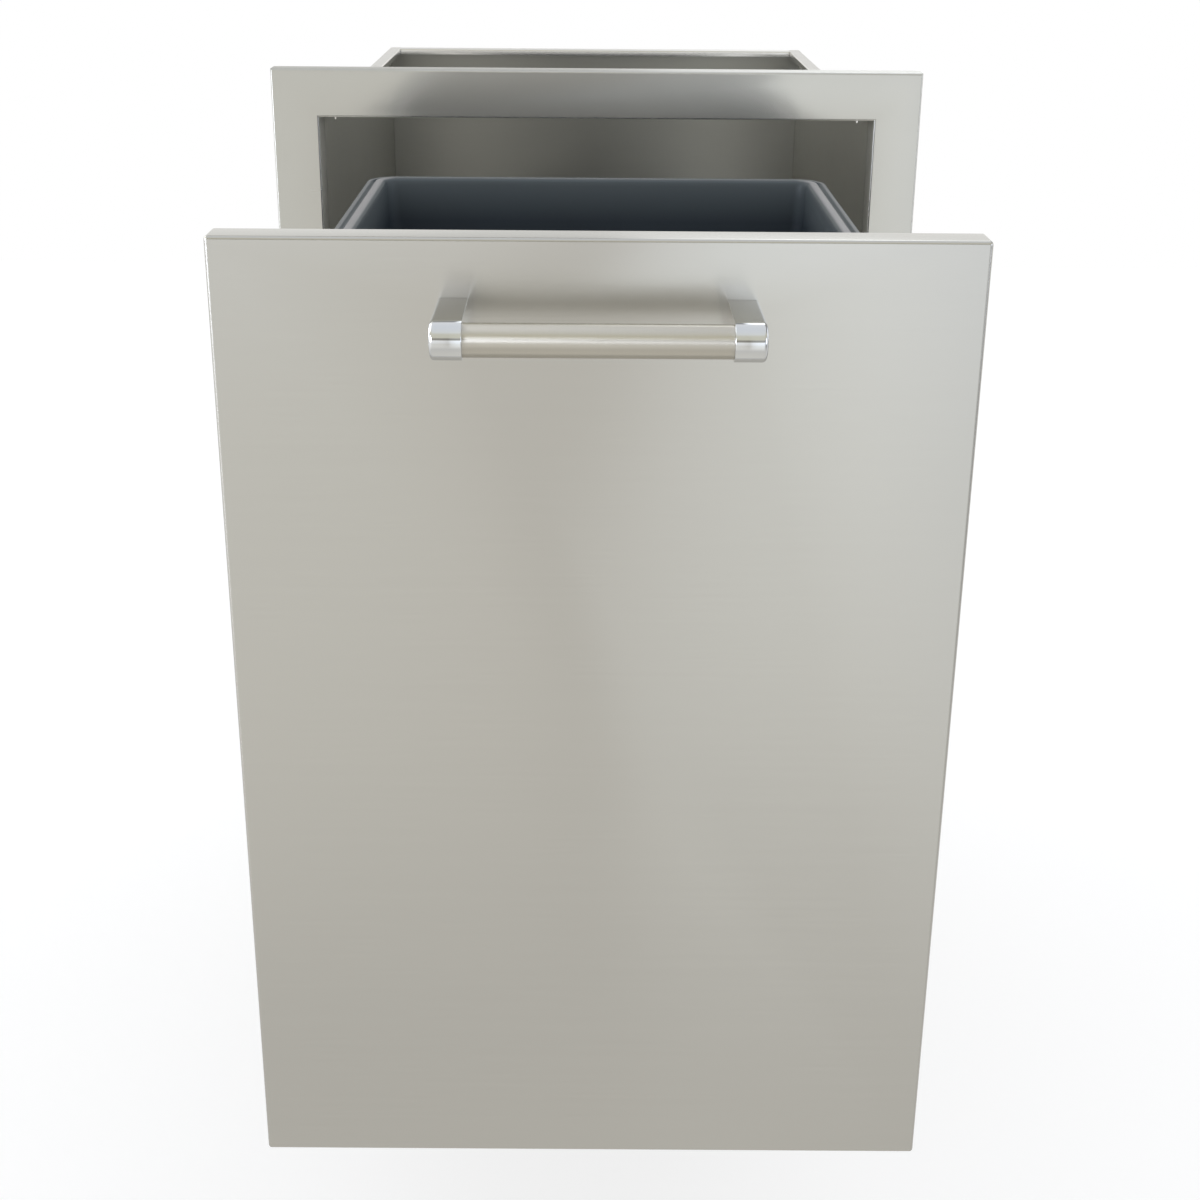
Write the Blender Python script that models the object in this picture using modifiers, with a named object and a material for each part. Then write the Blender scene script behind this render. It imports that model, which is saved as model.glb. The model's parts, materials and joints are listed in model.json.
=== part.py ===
"""Pull-out trash drawer for an outdoor kitchen, drawn out as far as its photograph shows it.

A face frame and an open-topped housing are fixed in the wall. The drawer is a hollow front panel
on a low tray, carried by two telescopic ball-bearing slides, and the bin stands in the tray.
Lengths are in metres. X runs to the right, Y into the wall and Z up. The origin is the middle of
the frame's bottom back lip, in the plane of the wall. Everything is laid out with the drawer
shut, and the empties that carry the moving pieces then stand where the pull-out puts them.
"""

import math

import bmesh
import bpy
from mathutils import Matrix, Vector

# Face frame
FRAME_WIDTH = 0.508
FRAME_HEIGHT = 0.686
RAIL_WIDTH = 0.0365
FRAME_DEPTH = 0.0225
BACK_LIP = 0.012
JAMB_DEPTH = 0.030
SHEET = 0.0012
BEND = 0.0012
SEAT_GAP = 0.0003

# Housing
RIM_RISE = 0.0010
RIM_FLANGE = 0.012
RIM_LIP = 0.0045
HOUSING_LAP = 0.016
FLANGE_SETBACK = 0.001
FLOOR_FLANGE = 0.015
REAR_CLEARANCE = 0.020

# Front panel
PANEL_GAP = 0.0025
PANEL_THICKNESS = 0.023
PANEL_SHEET = 0.0010
PANEL_BEND = 0.0012
LINER_FLANGE = 0.012
BACKING_WIDTH = 0.205
BACKING_HEIGHT = 0.034
BACKING_THICKNESS = 0.002

# Handle
POST_CENTRES = 0.160
POST_WIDTH = 0.0173
POST_RADIUS = 0.0107
BAR_RADIUS = 0.0092
BAR_STANDOFF = 0.052
BAR_BELOW_TOP = 0.0437
SOCKET_DEPTH = 0.011
POST_EDGE = 0.0024

# Telescopic slides. U runs from the housing wall to the drawer and V up, from the slide's middle.
SLIDE_LENGTH = 0.508
SLIDE_SETBACK = 0.012
SLIDE_RISE = 0.045
SLIDE_SHEET = 0.0013
SLIDE_BEND = 0.0008
BALL_RADIUS = 0.00175
BALL_PLAY = 0.00025
OUTER_BALL_U = 0.0070
INNER_BALL_U = 0.0080
INNER_RACE_V = 0.01235
CAGE_SHEET = 0.0006
MIDDLE_FLANGE = 0.0083
INNER_TIP_GAP = 0.0005
INNER_WEB_GAP = 0.0006
CAGE_LENGTH = 0.200
BALLS_IN_ROW = 4
BUMPER_LENGTH = 0.010
BUMPER_HEIGHT = 0.018
BUMPER_DEPTH = 0.0062

# Tray, its brackets and the bin's cradle
TRAY_SHEET = 0.0015
TRAY_RISE = 0.0185
TRAY_HEIGHT = 0.110
TRAY_HEM = 0.009
TRAY_FLANGE = 0.016
TRAY_WALL = 0.095
TRAY_SCREW_LEVEL = 0.057
PAN_EDGE_GAP = 0.0009
DRAIN_RADIUS = 0.005
BRACKET_SHEET = 0.0020
BRACKET_TOP = 0.415
BRACKET_REACH = 0.150
BRACKET_FLANGE = 0.020
BRACKET_NOSE = 0.014
BRACKET_FOOT_RISE = 0.0135
BRACKET_HOLE_INSET = 0.011
CRADLE_HEIGHT = 0.038
CRADLE_CLEARANCE = 0.003
CRADLE_CORNER = 0.016

# Bin
BIN_WIDTH = 0.342
BIN_DEPTH = 0.367
BIN_BEHIND_PANEL = 0.012
RIM_BELOW_PANEL_TOP = 0.030
BIN_WALL = 0.0024
BIN_NARROWING = 0.0145
BIN_FOOT_CORNER = 0.028
BIN_NECK_CORNER = 0.011
BIN_FOOT_ROUND = 0.012
BIN_OVERHANG = 0.0130
BIN_SKIRT = 0.014
BIN_RIM_SHEET = 0.0024
BIN_RIM_DEPTH = 0.0043
BIN_RIM_ROUND = 0.0032
BIN_OUTER_RIDGE = 0.0042
BIN_GROOVE = 0.0022
BIN_GROOVE_SLOPE = 0.0015
OUTER_RIDGE_DROP = 0.0006

# Screws
SCREW_RADIUS = 0.0020
SCREW_PLAY = 0.0003
SCREW_TIP = 0.003
FLAT_HEAD_RADIUS = 0.0032
PAN_HEAD_RADIUS = 0.0038
PAN_HEAD_HEIGHT = 0.0022
PAN_HEAD_EDGE = 0.0009
PAN_HEAD_CROWN = 0.0020
PAN_HEAD_SHOULDER = 0.75
HANDLE_SCREW_RADIUS = 0.0025
HANDLE_SCREW_GRIP = 0.012

# Where the drawer stands in the photograph, and its travel from shut to fully out
PULLED_OUT = 0.476

# Levels and places that follow from the sizes above
FRAME_BOTTOM = -BACK_LIP / 2
OPENING_HALF = FRAME_WIDTH / 2 - RAIL_WIDTH
OPENING_BOTTOM = FRAME_BOTTOM + RAIL_WIDTH
OPENING_TOP = FRAME_BOTTOM + FRAME_HEIGHT - RAIL_WIDTH
JAMB_END = JAMB_DEPTH - FRAME_DEPTH
WALL_INNER = OPENING_HALF + SHEET + SEAT_GAP
WALL_OUTER = WALL_INNER + SHEET
FLOOR_TOP = OPENING_BOTTOM - SHEET - SEAT_GAP
RIM_TOP = OPENING_TOP + RIM_RISE
FLANGE_START = JAMB_END + FLANGE_SETBACK
SLIDE_FRONT = SLIDE_SETBACK
SLIDE_BACK = SLIDE_FRONT + SLIDE_LENGTH
CAGE_START = SLIDE_FRONT + (SLIDE_LENGTH - CAGE_LENGTH) / 2
BACK_INNER = SLIDE_BACK + SEAT_GAP + BUMPER_LENGTH + REAR_CLEARANCE
BACK_OUTER = BACK_INNER + SHEET + SEAT_GAP + SHEET

PANEL_FRONT = -FRAME_DEPTH
PANEL_BACK = PANEL_FRONT + PANEL_THICKNESS
PANEL_HALF = OPENING_HALF - PANEL_GAP
PANEL_BOTTOM = OPENING_BOTTOM + PANEL_GAP
PANEL_TOP = OPENING_TOP - PANEL_GAP
BAR_Z = PANEL_TOP - BAR_BELOW_TOP
BAR_Y = PANEL_FRONT - BAR_STANDOFF

TRAY_BOTTOM = PANEL_BOTTOM + TRAY_RISE
TRAY_FLOOR = TRAY_BOTTOM + TRAY_SHEET + SEAT_GAP + TRAY_SHEET
TRAY_FRONT = PANEL_BACK + SEAT_GAP
TRAY_BACK = SLIDE_BACK
SLIDE_Z = TRAY_BOTTOM + SLIDE_RISE

# The slide's stack across its width, from the housing wall to the drawer
WEB_TOP_U = SLIDE_SHEET
OUTER_CAGE_U = WEB_TOP_U + SEAT_GAP
MIDDLE_U = OUTER_CAGE_U + CAGE_SHEET + SEAT_GAP
INNER_CAGE_U = MIDDLE_U + SLIDE_SHEET + SEAT_GAP
INNER_TIP_U = INNER_CAGE_U + CAGE_SHEET + INNER_TIP_GAP
MIDDLE_TIP_U = MIDDLE_U + MIDDLE_FLANGE
SLIDE_DEPTH = MIDDLE_TIP_U + INNER_WEB_GAP + SLIDE_SHEET
RACE_RADIUS = BALL_RADIUS + BALL_PLAY
INNER_BALL_V = INNER_RACE_V + RACE_RADIUS
MIDDLE_V = INNER_BALL_V + RACE_RADIUS + SLIDE_SHEET
OUTER_BALL_V = MIDDLE_V + RACE_RADIUS

SLIDE_FACE = WALL_INNER - SEAT_GAP
TRAY_OUTER = SLIDE_FACE - SLIDE_DEPTH - SEAT_GAP
TRAY_INNER = TRAY_OUTER - TRAY_SHEET
PAN_HALF = TRAY_INNER - PAN_EDGE_GAP
BRACKET_OUTER = TRAY_INNER - SEAT_GAP

BIN_FRONT = PANEL_BACK + BIN_BEHIND_PANEL
BIN_BOTTOM = TRAY_FLOOR + SEAT_GAP
BIN_TOP = PANEL_TOP - RIM_BELOW_PANEL_TOP
BIN_MIDDLE_Y = BIN_FRONT + BIN_DEPTH / 2

SIDES = (("left", -1), ("right", 1))
SLIDE_SCREW_PLACES = (0.040, 0.250, 0.470)
BRACKET_WALL_PLACES = (0.045, 0.125)
BRACKET_PANEL_PLACES = (0.105, 0.330)
TRAY_SCREW_PLACES = (-0.120, 0.0, 0.120)

# Turns that lay a flat outline's own X and Y along two of the object's axes
LAY = {"XY": (0, 0, 0), "XZ": (math.pi / 2, 0, 0), "YZ": (math.pi / 2, 0, math.pi / 2)}


def clear_scene():
    for obj in list(bpy.data.objects):
        bpy.data.objects.remove(obj, do_unlink=True)


def collection(name):
    made = bpy.data.collections.new(name)
    bpy.context.scene.collection.children.link(made)
    return made


def material(name, colour, roughness, metallic):
    made = bpy.data.materials.new(name)
    made.use_nodes = True
    shader = made.node_tree.nodes["Principled BSDF"]
    shader.inputs["Base Color"].default_value = (*colour, 1)
    shader.inputs["Roughness"].default_value = roughness
    shader.inputs["Metallic"].default_value = metallic
    made.diffuse_color = (*colour, 1)
    return made


def empty(name, place):
    made = bpy.data.objects.new(name, None)
    made.empty_display_size = 0.05
    made.location = place
    PARTS.objects.link(made)
    return made


def add_part(name, data, finish, parent=None, place=(0, 0, 0)):
    made = bpy.data.objects.new(name, data)
    data.materials.append(finish)
    made.location = place
    made.parent = parent
    PARTS.objects.link(made)
    return made


def add_cutter(name, bm, parent=None):
    mesh = bpy.data.meshes.new(name)
    bmesh.ops.recalc_face_normals(bm, faces=bm.faces)
    bm.to_mesh(mesh)
    bm.free()
    made = bpy.data.objects.new(name, mesh)
    made.hide_render = True
    made.display_type = "WIRE"
    made.parent = parent
    CUTTERS.objects.link(made)
    return made


def boolean(obj, other, operation="DIFFERENCE"):
    modifier = obj.modifiers.new(other.name, "BOOLEAN")
    modifier.operation = operation
    modifier.object = other
    modifier.solver = "EXACT"


def mesh_part(name, bm, finish, parent=None, side=1, smooth=False):
    """Turns a bmesh that is modelled for the right-hand side into the part for the given side."""
    if side < 0:
        bmesh.ops.scale(bm, vec=(-1, 1, 1), verts=bm.verts)
        bmesh.ops.reverse_faces(bm, faces=bm.faces)
    mesh = bpy.data.meshes.new(name)
    bm.to_mesh(mesh)
    bm.free()
    if smooth:
        mesh.shade_smooth()
        mesh.set_sharp_from_angle(angle=math.radians(30))
    return add_part(name, mesh, finish, parent)


def box_mesh(low, high):
    """A closed box between two corners, as a bmesh."""
    bm = bmesh.new()
    add_box(bm, low, high)
    return bm


def add_box(bm, low, high):
    low, high = Vector(low), Vector(high)
    place = Matrix.Translation((low + high) / 2) @ Matrix.Diagonal((*(high - low), 1))
    bmesh.ops.create_cube(bm, size=1, matrix=place)


def faces_towards(bm, *directions):
    """The faces whose normals point along any of the given directions."""
    bm.normal_update()
    wanted = [Vector(direction) for direction in directions]
    return [face for face in bm.faces if any(face.normal.dot(way) > 0.99 for way in wanted)]


def thicken(obj, thickness, offset=-1):
    modifier = obj.modifiers.new("sheet", "SOLIDIFY")
    modifier.thickness = thickness
    modifier.offset = offset
    modifier.use_even_offset = True


def round_folds(bm, radius, segments=2):
    """Rounds each fold of an open sheet, but none of its free edges."""
    bm.normal_update()
    folds = [edge for edge in bm.edges if len(edge.link_faces) == 2 and edge.calc_face_angle() > 0.2]
    bmesh.ops.bevel(
        bm, geom=folds, offset=radius, offset_type="OFFSET", segments=segments,
        profile=0.5, affect="EDGES", clamp_overlap=True, material=-1,
    )


def arc(centre, radius, start, end, steps):
    """Points on an arc, its angles in degrees."""
    angles = [math.radians(start + (end - start) * i / steps) for i in range(steps + 1)]
    return [(centre[0] + radius * math.cos(a), centre[1] + radius * math.sin(a)) for a in angles]


def rounded(points, radii, steps):
    """The polyline with each inner corner turned into an arc of its own radius."""
    made = [points[0]]
    for i in range(1, len(points) - 1):
        corner = Vector(points[i])
        before = (Vector(points[i - 1]) - corner).normalized()
        after = (Vector(points[i + 1]) - corner).normalized()
        half = before.angle(after) / 2
        radius = radii[i]
        if radius <= 0 or half > math.radians(89):
            made.append(tuple(corner))
            continue
        centre = corner + (before + after).normalized() * radius / math.sin(half)
        first = corner + before * radius / math.tan(half) - centre
        turn = first.angle_signed(corner + after * radius / math.tan(half) - centre)
        for step in range(steps + 1):
            spoke = first.copy()
            spoke.rotate(Matrix.Rotation(-turn * step / steps, 2))
            made.append(tuple(centre + spoke))
    return made + [points[-1]]


def bent_strip(path, thickness, bend=BEND, steps=2):
    """The outline of a bent sheet. The path is one face of it, with the metal on its left."""
    lines = [Vector(b) - Vector(a) for a, b in zip(path, path[1:])]
    normals = [Vector((-line.y, line.x)).normalized() for line in lines]
    other, near_radii, far_radii = [], [0], [0]
    for i, point in enumerate(path):
        if i in (0, len(path) - 1):
            normal = normals[0] if i == 0 else normals[-1]
            other.append(tuple(Vector(point) + normal * thickness))
            continue
        a, b = normals[i - 1], normals[i]
        other.append(tuple(Vector(point) + (a + b) * thickness / (1 + a.dot(b))))
        turns_left = lines[i - 1].cross(lines[i]) > 0
        near_radii.append(bend + thickness if turns_left else bend)
        far_radii.append(bend if turns_left else bend + thickness)
    near = rounded(path, near_radii + [0], steps)
    far = rounded(other, far_radii + [0], steps)
    return near + far[::-1]


def outline(name, points, plane, start, end, finish, parent=None, side=1):
    """A filled outline in one plane, extruded from start to end along the third axis."""
    curve = bpy.data.curves.new(name, "CURVE")
    curve.dimensions = "2D"
    curve.fill_mode = "BOTH"
    curve.extrude = (end - start) / 2
    mirrored = plane[0] == "X"
    spline = curve.splines.new("POLY")
    spline.points.add(len(points) - 1)
    for point, (x, y) in zip(spline.points, points):
        point.co = (side * x if mirrored else x, y, 0, 1)
    spline.use_cyclic_u = True
    middle = (start + end) / 2
    place = {"XY": (0, 0, middle), "XZ": (0, middle, 0), "YZ": (side * middle, 0, 0)}[plane]
    made = add_part(name, curve, finish, parent, place)
    made.rotation_euler = LAY[plane]
    return made


def as_mesh(obj):
    """The same part as a welded mesh, ready to be cut or joined."""
    bpy.context.view_layer.update()
    graph = bpy.context.evaluated_depsgraph_get()
    mesh = bpy.data.meshes.new_from_object(obj.evaluated_get(graph))
    bm = bmesh.new()
    bm.from_mesh(mesh)
    bmesh.ops.remove_doubles(bm, verts=bm.verts, dist=1e-6)
    bmesh.ops.recalc_face_normals(bm, faces=bm.faces)
    bm.to_mesh(mesh)
    bm.free()
    name, parent, place = obj.name, obj.parent, obj.matrix_world.copy()
    bpy.data.objects.remove(obj, do_unlink=True)
    made = bpy.data.objects.new(name, mesh)
    made.parent = parent
    made.matrix_world = place
    PARTS.objects.link(made)
    bpy.context.view_layer.update()
    return made


def turned(name, profile, finish, parent, place, aim, steps):
    """A profile of radius and height, from its top down, turned about an axis that aims along aim."""
    bm = bmesh.new()
    points = [bm.verts.new((radius, 0, height)) for radius, height in profile]
    for a, b in zip(points, points[1:]):
        bm.edges.new((a, b))
    mesh = bpy.data.meshes.new(name)
    bm.to_mesh(mesh)
    bm.free()
    made = add_part(name, mesh, finish, parent, place)
    made.rotation_euler = Vector(aim).to_track_quat("Z", "Y").to_euler()
    screw = made.modifiers.new("turn", "SCREW")
    screw.angle = math.tau
    screw.steps = steps
    screw.render_steps = steps
    screw.use_merge_vertices = True
    screw.merge_threshold = 0.00001
    return made


def rods(places, axis, radius, low, high, sides=12):
    """Closed cylinders from low to high along one axis, at places on the other two."""
    bm = bmesh.new()
    turn = {"X": Matrix.Rotation(math.pi / 2, 4, "Y"), "Y": Matrix.Rotation(math.pi / 2, 4, "X")}
    for a, b in places:
        middle = (low + high) / 2
        centre = {"X": (middle, a, b), "Y": (a, middle, b), "Z": (a, b, middle)}[axis]
        bmesh.ops.create_cone(
            bm, cap_ends=True, segments=sides, radius1=radius, radius2=radius, depth=high - low,
            matrix=Matrix.Translation(centre) @ turn.get(axis, Matrix.Identity(4)),
        )
    return bm


def cones(places, x_wide, x_narrow, wide, narrow, sides=12):
    """Closed cones along X, for countersinks, at places in Y and Z."""
    bm = bmesh.new()
    way = 1 if x_narrow > x_wide else -1
    turn = Matrix.Rotation(way * math.pi / 2, 4, "Y")
    for y, z in places:
        bmesh.ops.create_cone(
            bm, cap_ends=True, segments=sides, radius1=wide, radius2=narrow,
            depth=abs(x_narrow - x_wide),
            matrix=Matrix.Translation(((x_wide + x_narrow) / 2, y, z)) @ turn,
        )
    return bm


def loft(rings, closed):
    """Skins a row of rings that have the same number of points, and caps its ends unless closed."""
    bm = bmesh.new()
    loops = [[bm.verts.new(co) for co in ring] for ring in rings]
    count = len(loops[0])
    pairs = list(zip(loops, loops[1:])) + ([(loops[-1], loops[0])] if closed else [])
    for a, b in pairs:
        for i in range(count):
            j = (i + 1) % count
            bm.faces.new((a[i], a[j], b[j], b[i]))
    if not closed:
        bm.faces.new(loops[0][::-1])
        bm.faces.new(loops[-1])
    bmesh.ops.recalc_face_normals(bm, faces=bm.faces)
    return bm


def make_face_frame():
    """One folded sheet: the face, its outer returns with back lips, and jambs round the opening."""
    path = [
        (BACK_LIP, 0), (0, 0), (0, -FRAME_DEPTH),
        (RAIL_WIDTH, -FRAME_DEPTH), (RAIL_WIDTH, JAMB_DEPTH - FRAME_DEPTH),
    ]
    half_x, half_z = FRAME_WIDTH / 2, FRAME_HEIGHT / 2
    middle_z = FRAME_BOTTOM + half_z
    rings = []
    for inset, y in bent_strip(path, SHEET, BEND, 3):
        x, z = half_x - inset, half_z - inset
        rings.append([(sx * x, y, middle_z + sz * z) for sx, sz in ((1, 1), (-1, 1), (-1, -1), (1, -1))])
    mesh_part("face_frame", loft(rings, True), STEEL)


def make_housing_side(label, side):
    """A wall with its top flange and lip, a flange round the rear corner and a front lap."""
    bm = box_mesh(
        (WALL_OUTER - RIM_FLANGE, FLANGE_START, FLOOR_TOP - SHEET), (WALL_OUTER, BACK_OUTER, RIM_TOP)
    )
    open_sides = faces_towards(bm, (-1, 0, 0), (0, -1, 0), (0, 0, -1))
    bmesh.ops.delete(bm, geom=open_sides, context="FACES_ONLY")
    lone = [v for v in bm.verts if not v.link_faces]
    bmesh.ops.delete(bm, geom=lone, context="VERTS")

    lap_top = RIM_TOP - SHEET - BEND * 2
    bmesh.ops.bisect_plane(
        bm, geom=bm.verts[:] + bm.edges[:] + bm.faces[:], plane_co=(0, 0, lap_top), plane_no=(0, 0, 1)
    )

    def on(edge, axis, value):
        return all(abs(v.co[axis] - value) < 1e-6 for v in edge.verts)

    front = [e for e in bm.edges if on(e, 1, FLANGE_START) and on(e, 0, WALL_OUTER)
             and max(v.co.z for v in e.verts) < lap_top + 1e-6]
    lap = bmesh.ops.extrude_edge_only(bm, edges=front)
    for item in lap["geom"]:
        if isinstance(item, bmesh.types.BMVert):
            item.co.y = -HOUSING_LAP
    hem = [e for e in bm.edges if on(e, 0, WALL_OUTER - RIM_FLANGE) and on(e, 2, RIM_TOP)]
    lip = bmesh.ops.extrude_edge_only(bm, edges=hem)
    for item in lip["geom"]:
        if isinstance(item, bmesh.types.BMVert):
            item.co.z -= RIM_LIP
            item.co.y = min(item.co.y, BACK_INNER - SEAT_GAP)
    bmesh.ops.recalc_face_normals(bm, faces=bm.faces)
    if not faces_towards(bm, (0, 0, 1)):
        bmesh.ops.reverse_faces(bm, faces=bm.faces)
    round_folds(bm, BEND + SHEET * 0.5)
    wall = mesh_part(f"housing_side_{label}", bm, STEEL, side=side)
    thicken(wall, SHEET)
    holes = slide_holes()
    inner, outer = WALL_INNER - SHEET, WALL_OUTER + SHEET
    low, high = sorted((side * inner, side * outer))
    cutter = rods(holes, "X", SCREW_RADIUS + SCREW_PLAY, low, high)
    boolean(wall, add_cutter(f"side_holes_{label}", cutter))


def make_housing_back():
    """A plate between the walls, with its own flange and lip between theirs."""
    face_y = BACK_INNER + SHEET
    path = [
        (face_y - RIM_FLANGE, RIM_TOP - RIM_LIP), (face_y - RIM_FLANGE, RIM_TOP),
        (face_y, RIM_TOP), (face_y, FLOOR_TOP + SEAT_GAP),
    ]
    strip = bent_strip([(y, z) for y, z in path][::-1], SHEET)
    half = WALL_INNER - SEAT_GAP
    back = as_mesh(outline("housing_back", strip, "YZ", -half, half, STEEL))
    notch = bmesh.new()
    flange_half = WALL_OUTER - RIM_FLANGE - SEAT_GAP
    lowest = RIM_TOP - RIM_LIP - SEAT_GAP
    for side in (-1, 1):
        low, high = sorted((side * flange_half, side * (half + SHEET)))
        add_box(notch, (low, 0, lowest), (high, BACK_OUTER + SHEET, RIM_TOP + SHEET))
    boolean(back, add_cutter("back_notches", notch))


def make_housing_floor():
    """A plate with side flanges turned up inside the walls, and a bare front that laps the frame."""
    half = WALL_INNER - SEAT_GAP
    low, high = FLOOR_TOP - SHEET, FLOOR_TOP + FLOOR_FLANGE
    path = [(-half, high), (-half, low), (half, low), (half, high)]
    strip = bent_strip(path, SHEET)
    end = BACK_INNER - SEAT_GAP
    floor = as_mesh(outline("housing_floor", strip, "XZ", -HOUSING_LAP, end, STEEL))
    clear = box_mesh(
        (-WALL_OUTER, -HOUSING_LAP - SHEET, FLOOR_TOP + SEAT_GAP / 3),
        (WALL_OUTER, FLANGE_START, high + SHEET),
    )
    boolean(floor, add_cutter("floor_front_clearance", clear))


def slide_outer_outline():
    """The housing member: a C whose edges curl round the outer balls."""
    reach = RACE_RADIUS + SLIDE_SHEET
    curl = arc((OUTER_BALL_U, OUTER_BALL_V), reach, -5, 125, 7)
    flat = curl[-1][1]
    top = curl + [(0, flat)]
    bottom = [(u, -v) for u, v in top[::-1]]
    inner = arc((OUTER_BALL_U, OUTER_BALL_V), RACE_RADIUS, 125, -5, 7)
    ceiling = flat - SLIDE_SHEET
    inside = [(SLIDE_SHEET, ceiling), (inner[0][0] - SLIDE_SHEET / 3, ceiling)] + inner
    under = [(u, -v) for u, v in inside[::-1]]
    return top + bottom + under + inside


def slide_middle_outline():
    path = [
        (MIDDLE_TIP_U, MIDDLE_V), (MIDDLE_U, MIDDLE_V), (MIDDLE_U, -MIDDLE_V), (MIDDLE_TIP_U, -MIDDLE_V),
    ]
    return bent_strip(path, SLIDE_SHEET, SLIDE_BEND)


def slide_inner_outline():
    """The drawer member: a C that opens to the wall, grooved outside for the inner balls."""
    centre = (INNER_BALL_U, INNER_BALL_V)
    groove = arc(centre, RACE_RADIUS, 225, 315, 4)
    flat = groove[0][1]
    ridge = arc(centre, RACE_RADIUS + SLIDE_SHEET, 315, 225, 4)
    floor = flat - SLIDE_SHEET
    upper = [(INNER_TIP_U, flat)] + groove + [(SLIDE_DEPTH, flat)]
    lower = [(u, -v) for u, v in upper[::-1]]
    ridge = [(u, v) for u, v in ridge if v < floor]
    hidden = [(SLIDE_DEPTH - SLIDE_SHEET, floor)] + ridge + [(INNER_TIP_U, floor)]
    shown = [(u, -v) for u, v in hidden[::-1]]
    return upper + lower + shown + hidden


def slide_holes():
    """The Y and Z of each screw that holds a slide."""
    return [(SLIDE_FRONT + place, SLIDE_Z) for place in SLIDE_SCREW_PLACES]


def to_wall(points):
    """Slide outlines, from U and V to the object's X and Z."""
    return [(SLIDE_FACE - u, SLIDE_Z + v) for u, v in points]


def countersink(obj, side, parent, x_wide, x_narrow, label):
    places = slide_holes()
    wide, narrow = FLAT_HEAD_RADIUS + SCREW_PLAY, SCREW_RADIUS + SCREW_PLAY
    way = 1 if x_narrow > x_wide else -1
    past = way * SEAT_GAP
    cutter = cones(places, side * (x_wide - past), side * (x_narrow + past), wide, narrow)
    boolean(obj, add_cutter(f"{label}_countersinks", cutter, parent))


def flat_screw(name, place, aim, grip, parent):
    """A countersunk screw with its head's face at its own origin."""
    cone = FLAT_HEAD_RADIUS - SCREW_RADIUS
    profile = [
        (0, 0), (FLAT_HEAD_RADIUS, 0), (SCREW_RADIUS, -cone),
        (SCREW_RADIUS, -grip - SCREW_TIP + SCREW_RADIUS / 2), (0, -grip - SCREW_TIP),
    ]
    return turned(name, profile, ZINC, parent, place, aim, 10)


def pan_screw(name, place, aim, grip, parent, radius=SCREW_RADIUS):
    """A pan-head screw that seats at its own origin."""
    head = PAN_HEAD_RADIUS + radius - SCREW_RADIUS
    profile = [
        (0, PAN_HEAD_HEIGHT), (head * PAN_HEAD_SHOULDER, PAN_HEAD_CROWN), (head, PAN_HEAD_EDGE), (head, 0),
        (radius, 0), (radius, -grip + radius / 2), (0, -grip),
    ]
    return turned(name, profile, ZINC, parent, place, aim, 10)


def make_cage(name, u, ball_u, ball_v, arm, parent, side):
    """A strip bent into a U along the slide, whose arms hold the balls in two rows."""
    path = [(u + arm, ball_v + CAGE_SHEET / 2), (u, ball_v + CAGE_SHEET / 2),
            (u, -ball_v - CAGE_SHEET / 2), (u + arm, -ball_v - CAGE_SHEET / 2)]
    strip = to_wall(bent_strip(path, CAGE_SHEET, CAGE_SHEET / 2, 1))
    end = CAGE_START + CAGE_LENGTH
    cage = as_mesh(outline(name, strip, "XZ", CAGE_START, end, BRIGHT, parent, side))
    balls = bmesh.new()
    pitch = CAGE_LENGTH / BALLS_IN_ROW
    for i in range(BALLS_IN_ROW):
        for v in (-ball_v, ball_v):
            place = (side * (SLIDE_FACE - ball_u), CAGE_START + pitch * (i + 0.5), SLIDE_Z + v)
            bmesh.ops.create_uvsphere(
                balls, u_segments=8, v_segments=6, radius=BALL_RADIUS, matrix=Matrix.Translation(place)
            )
    boolean(cage, add_cutter(f"{name}_balls", balls, parent), "UNION")


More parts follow.
